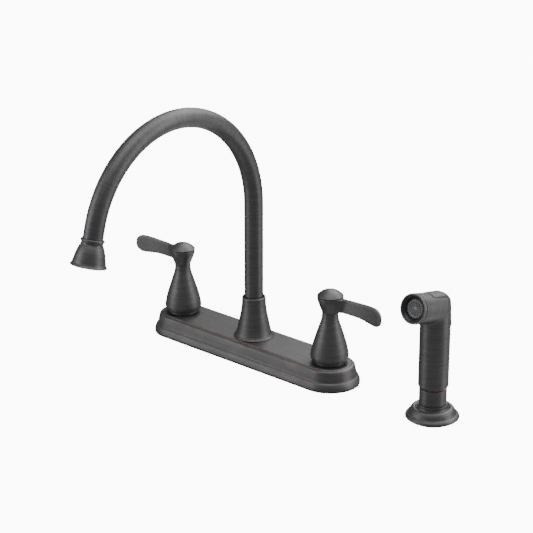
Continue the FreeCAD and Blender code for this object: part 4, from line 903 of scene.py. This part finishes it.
def trigger_surface():
    """Thumb lever: a rounded oblong section carried over the head's top, its corner and down.

    Over the top and the corner a section lies on a ray from the crook's centre, down the back it
    is level.  Its outer side is an elbow wall whose crown tilts less than the barrel and whose back
    stands out further down.  Its inner side is a flat elbow wall.
    """
    edge = np.array([0.9, 0.955, 0.985, 1.0])
    x_out = TRIGGER_HALF * np.concatenate([-edge[:0:-1], np.linspace(-0.9, 0.9, 19), edge[1:]])
    lowered = np.concatenate([[0.42, 0.14, 0.0], np.zeros(19), [0.0, 0.14, 0.42]])
    tilt = math.atan(math.sin(HEAD_TILT) / math.cos(HEAD_TILT) - TRIGGER_LESS)
    crown = (HEAD + np.sqrt(TRIGGER_CROWN ** 2 - x_out ** 2) / math.cos(HEAD_TILT)
             - TRIGGER_LESS * TRIGGER_FRONT - lowered)
    over = (crown - CROOK_Z) * math.cos(tilt) - CROOK_Y * math.sin(tilt)
    up = np.sqrt(TRIGGER_BACK ** 2 - x_out ** 2) - lowered - CROOK_Y
    first = math.atan2(128.0 - CROOK_Z, TRIGGER_FRONT - CROOK_Y)
    swing = np.concatenate([first - np.array([0.0, 0.0035, 0.012]),
                            np.linspace(first - 0.02, 0.0, 90)])[:, None]
    corner = TRIGGER_CORNER - np.abs(x_out) * 0.4
    out = elbow_reach(swing, up, over, corner, tilt)
    into = elbow_reach(swing, INNER_BACK - CROOK_Y, INNER_TOP, INNER_CORNER) * np.ones(out.shape)
    ray = np.concatenate([np.cos(swing), np.sin(swing)], axis=1)[:, None, :]
    centre = np.array([CROOK_Y, CROOK_Z])
    z = np.concatenate([np.linspace(CROOK_Z, TRIGGER_FOOT + 1.2, 12)[1:],
                        [92.7, 92.3, 92.08, TRIGGER_FOOT]])
    level = np.broadcast_to(z[:, None], (len(z), len(x_out)))
    back = np.stack([np.broadcast_to(up + CROOK_Y, level.shape), level], axis=2)
    outer = np.concatenate([centre + out[:, :, None] * ray, back])
    inner = np.concatenate([centre + into[:, :, None] * ray,
                            np.stack([np.full(level.shape, INNER_BACK), level], axis=2)])
    outer[:, :, 0] += 1.9 * np.clip((116.0 - outer[:, :, 1]) / 24.0, 0.0, 1.0) ** 1.3

    # thickness eases off at the front edge and at the foot
    full = np.ones((len(outer), 1, 1))
    full[:3, 0, 0] = [0.72, 0.88, 0.97]
    full[-4:, 0, 0] = [0.98, 0.9, 0.76, 0.55]
    middle = (outer + inner) / 2.0
    outer, inner = middle + (outer - middle) * full, middle + (inner - middle) * full
    flat = np.concatenate([outer, inner[:, ::-1]], axis=1)
    surface = points_of(np.concatenate([x_out, x_out[::-1]]), flat[:, :, 0], flat[:, :, 1])
    ends = [np.broadcast_to(surface[k].mean(axis=0), (1,) + surface.shape[1:]) for k in (0, -1)]
    surface = np.concatenate([ends[0], surface, ends[1]])

    # pale rim and front edge of the trigger: worn metal and a painted highlight
    rim = np.concatenate([np.abs(x_out) > 0.94 * TRIGGER_HALF, np.zeros(len(x_out), dtype=bool)])
    wear_and_painted_light = np.broadcast_to(np.where(rim, 0.5, 0.0), surface.shape[:2]).copy()
    wear_and_painted_light[:4, :len(x_out)] = 0.4
    grain = surface * np.array([1.0, 0.3, 1.0])
    return grid(placed(surface, (SPRAYER, 0.0, 0.0)), grain, wear_and_painted_light)


def lug_surface():
    """Trigger's lug: a circle about the pin, carried across the trigger and closed at both ends."""
    across = np.array([-7.9, -7.9, -7.7, 7.7, 7.9, 7.9])[:, None]
    radius = np.array([0.0, 2.4, 2.6, 2.6, 2.4, 0.0])[:, None]
    a = round_angles(40)
    surface = points_of(across, radius * np.cos(a), PIN_HEIGHT + radius * np.sin(a))
    return grid(placed(surface, (SPRAYER, 0.0, 0.0)), surface)


def make_sprayer():
    """The fixed holder, the collar that lifts out, the sprayer on it and its trigger."""
    place = (SPRAYER, 0.0, 0.0)
    head = (SPRAYER, 0.0, HEAD)
    holder = turned(holder_steps(), place, rubbed_and_lit=0.3)
    thread = threaded(14.1, -31.0, -1.0, 1.5, 0.55, place)
    collar = turned(collar_steps(), place, rubbed_and_lit=0.3)
    # the lip's strong pale edge is worn metal and a painted highlight
    nozzle = turned(nozzle_steps(), head, HEAD_LEAN, rubbed_and_lit=0.8)
    dish = turned(dish_steps(), head, HEAD_LEAN)
    piece("holder_skin", [holder, thread], BRONZE, "base", "bronze_finish", "sprayer_holder")
    piece("collar_skin", [collar], BRONZE, "sprayer_base", "bronze_finish", "sprayer_collar")
    piece("sprayer_skin", [sprayer_surface()], BRONZE, "sprayer", "bronze_finish", "sprayer_body")
    piece("nozzle_skin", [nozzle], CAST_BRONZE, "sprayer", "bronze_finish", "nozzle_ring")
    piece("nozzle_dish", [dish], DISH_PLASTIC, "sprayer", "black_plastic")
    piece("spray_face_skin", [spray_face_surface(head, HEAD_LEAN)], FACE_PLASTIC, "sprayer",
          "black_plastic", "spray_face")
    piece("trigger_skin", [trigger_surface(), lug_surface()], CAST_BRONZE, "spray_trigger",
          "bronze_finish", "trigger")


# ------------------------------------------------------------------ carried-over nodes

def dress(names, material):
    """Give CAD nodes a finish."""
    for name in names:
        mesh = frame["nodes"][name].data
        mesh.materials.clear()
        mesh.materials.append(material)


def on_both_sides(*names):
    """Each of these names for the hot side and for the cold side."""
    return [side + "_" + name for side in ("hot", "cold") for name in names]


def dress_nodes():
    """A finish for every CAD node that shows as it is."""
    dress(on_both_sides("valve_body", "bonnet_nut", "stem")
          + ["waterway", "spray_outlet_nipple", "spout_sleeve", "hose_inlet"], BRASS)
    dress(on_both_sides("lock_washer", "handle_screw") + ["trigger_pin", "plunger_spring"], STEEL)
    dress(on_both_sides("lock_nut", "cartridge")
          + ["holder_nut", "spout_glide_ring", "aerator_insert", "diverter", "valve_plunger"],
          BLACK_PLASTIC)
    dress(["holder_gasket", "spout_seal_rings", "deck_gasket"], BLACK_RUBBER)


# ------------------------------------------------------------------ studio

# the photograph's camera: its place in metres, how far round it stands and how far it looks down,
# its focal length in pixels and the picture's width
CAMERA_SPOT = (1.1594, -1.2446, 0.7175)
CAMERA_TURN = math.radians(42.54)
CAMERA_DIP = math.radians(20.08)
FOCAL_PIXELS = 1798.906
PICTURE = 533.0
SENSOR = 36.0

# strength of the plain white ground that the camera sees, and of the room's light on the metal
GROUND_SEEN = 11.0
ROOM_LIGHT = 0.24
WHITE = (1.0, 1.0, 1.0, 1.0)

# where the soft lights point
AIM = Vector((0.05, -0.05, 0.12))


def make_camera():
    """Camera at the photograph's place: to the right of the front and looking down a little."""
    data = bpy.data.cameras.new("camera")
    data.sensor_width = SENSOR
    data.lens = FOCAL_PIXELS / PICTURE * SENSOR
    data.clip_end = 20.0
    camera = bpy.data.objects.new("camera", data)
    a, p = CAMERA_TURN, CAMERA_DIP
    right = Vector((math.cos(a), math.sin(a), 0.0))
    back = Vector((math.sin(a) * math.cos(p), -math.cos(a) * math.cos(p), math.sin(p)))
    turn = Matrix((right, back.cross(right), back)).transposed().to_4x4()
    camera.matrix_world = Matrix.Translation(CAMERA_SPOT) @ turn
    bpy.context.scene.collection.objects.link(camera)
    bpy.context.scene.camera = camera


def seen_or_felt(tree, seen, felt):
    """One light for the picture's plain ground and another for what the metal mirrors."""
    path = node(tree, "ShaderNodeLightPath")
    mix = node(tree, "ShaderNodeMixShader")
    tree.links.new(path.outputs["Is Camera Ray"], mix.inputs["Fac"])
    tree.links.new(felt, mix.inputs[1])
    tree.links.new(seen, mix.inputs[2])
    return mix.outputs["Shader"]


def make_floor():
    """A plain white sheet, as wide as any view needs."""
    reach = 6.0
    corners = [(-reach, -reach, 0.0), (reach, -reach, 0.0), (reach, reach, 0.0),
               (-reach, reach, 0.0)]
    mesh = bpy.data.meshes.new("floor")
    mesh.from_pydata(corners, [], [(0, 1, 2, 3)])
    material, tree, principled = new_material("floor_white")
    tree.nodes.remove(principled)
    diffuse = node(tree, "ShaderNodeBsdfDiffuse")
    diffuse.inputs["Color"].default_value = (0.24, 0.24, 0.24, 1.0)
    sheen = node(tree, "ShaderNodeBsdfGlossy")
    sheen.inputs["Color"].default_value = (0.75, 0.75, 0.75, 1.0)
    sheen.inputs["Roughness"].default_value = 0.2
    paper = node(tree, "ShaderNodeMixShader")
    paper.inputs["Fac"].default_value = 0.55
    tree.links.new(diffuse.outputs["BSDF"], paper.inputs[1])
    tree.links.new(sheen.outputs["BSDF"], paper.inputs[2])
    ground = node(tree, "ShaderNodeEmission")
    ground.inputs["Color"].default_value = WHITE
    ground.inputs["Strength"].default_value = GROUND_SEEN
    shader = seen_or_felt(tree, ground.outputs["Emission"], paper.outputs["Shader"])
    tree.links.new(shader, tree.nodes["Material Output"].inputs["Surface"])
    mesh.materials.append(material)
    floor = bpy.data.objects.new("floor", mesh)
    bpy.context.scene.collection.objects.link(floor)


def make_world():
    """Plain white behind the object, and a dim cool room for the metal to mirror."""
    world = bpy.data.worlds.new("studio")
    bpy.context.scene.world = world
    world.use_nodes = True
    tree = world.node_tree
    tree.nodes.clear()
    output = node(tree, "ShaderNodeOutputWorld")
    pale = node(tree, "ShaderNodeBackground")
    pale.inputs["Color"].default_value = WHITE
    pale.inputs["Strength"].default_value = GROUND_SEEN
    dim = node(tree, "ShaderNodeBackground")
    dim.inputs["Color"].default_value = (0.93, 0.96, 1.0, 1.0)
    dim.inputs["Strength"].default_value = ROOM_LIGHT
    shader = seen_or_felt(tree, pale.outputs["Background"], dim.outputs["Background"])
    tree.links.new(shader, output.inputs["Surface"])


def softbox(name, turn, rise, distance, width, height, power, colour=WHITE[:3]):
    """A soft light, turned and raised by these angles from the camera's side, facing the object."""
    data = bpy.data.lights.new(name, "AREA")
    data.shape = "RECTANGLE"
    data.size = width
    data.size_y = height
    data.energy = power
    data.color = colour
    heading = CAMERA_TURN + math.radians(turn)
    lift = math.radians(rise)
    toward = Vector((math.sin(heading) * math.cos(lift), -math.cos(heading) * math.cos(lift),
                     math.sin(lift)))
    light = bpy.data.objects.new(name, data)
    light.location = AIM + toward * distance
    light.rotation_euler = toward.to_track_quat("Z", "Y").to_euler()
    bpy.context.scene.collection.objects.link(light)


def make_lights():
    """Tall soft boxes at both sides, a broad one behind and one overhead."""
    softbox("left_softbox", -78.0, 12.0, 1.7, 0.8, 1.6, 10.8)
    softbox("right_softbox", 80.0, 12.0, 1.7, 0.8, 1.6, 11.8)
    softbox("back_softbox", 140.0, 45.0, 1.7, 2.0, 1.2, 27.0)
    softbox("top_softbox", 0.0, 80.0, 1.9, 1.8, 1.8, 18.0, (1.0, 0.98, 0.95))


make_camera()
make_plate()
make_handles()
make_spout()
make_sprayer()
dress_nodes()
make_world()
make_floor()
make_lights()
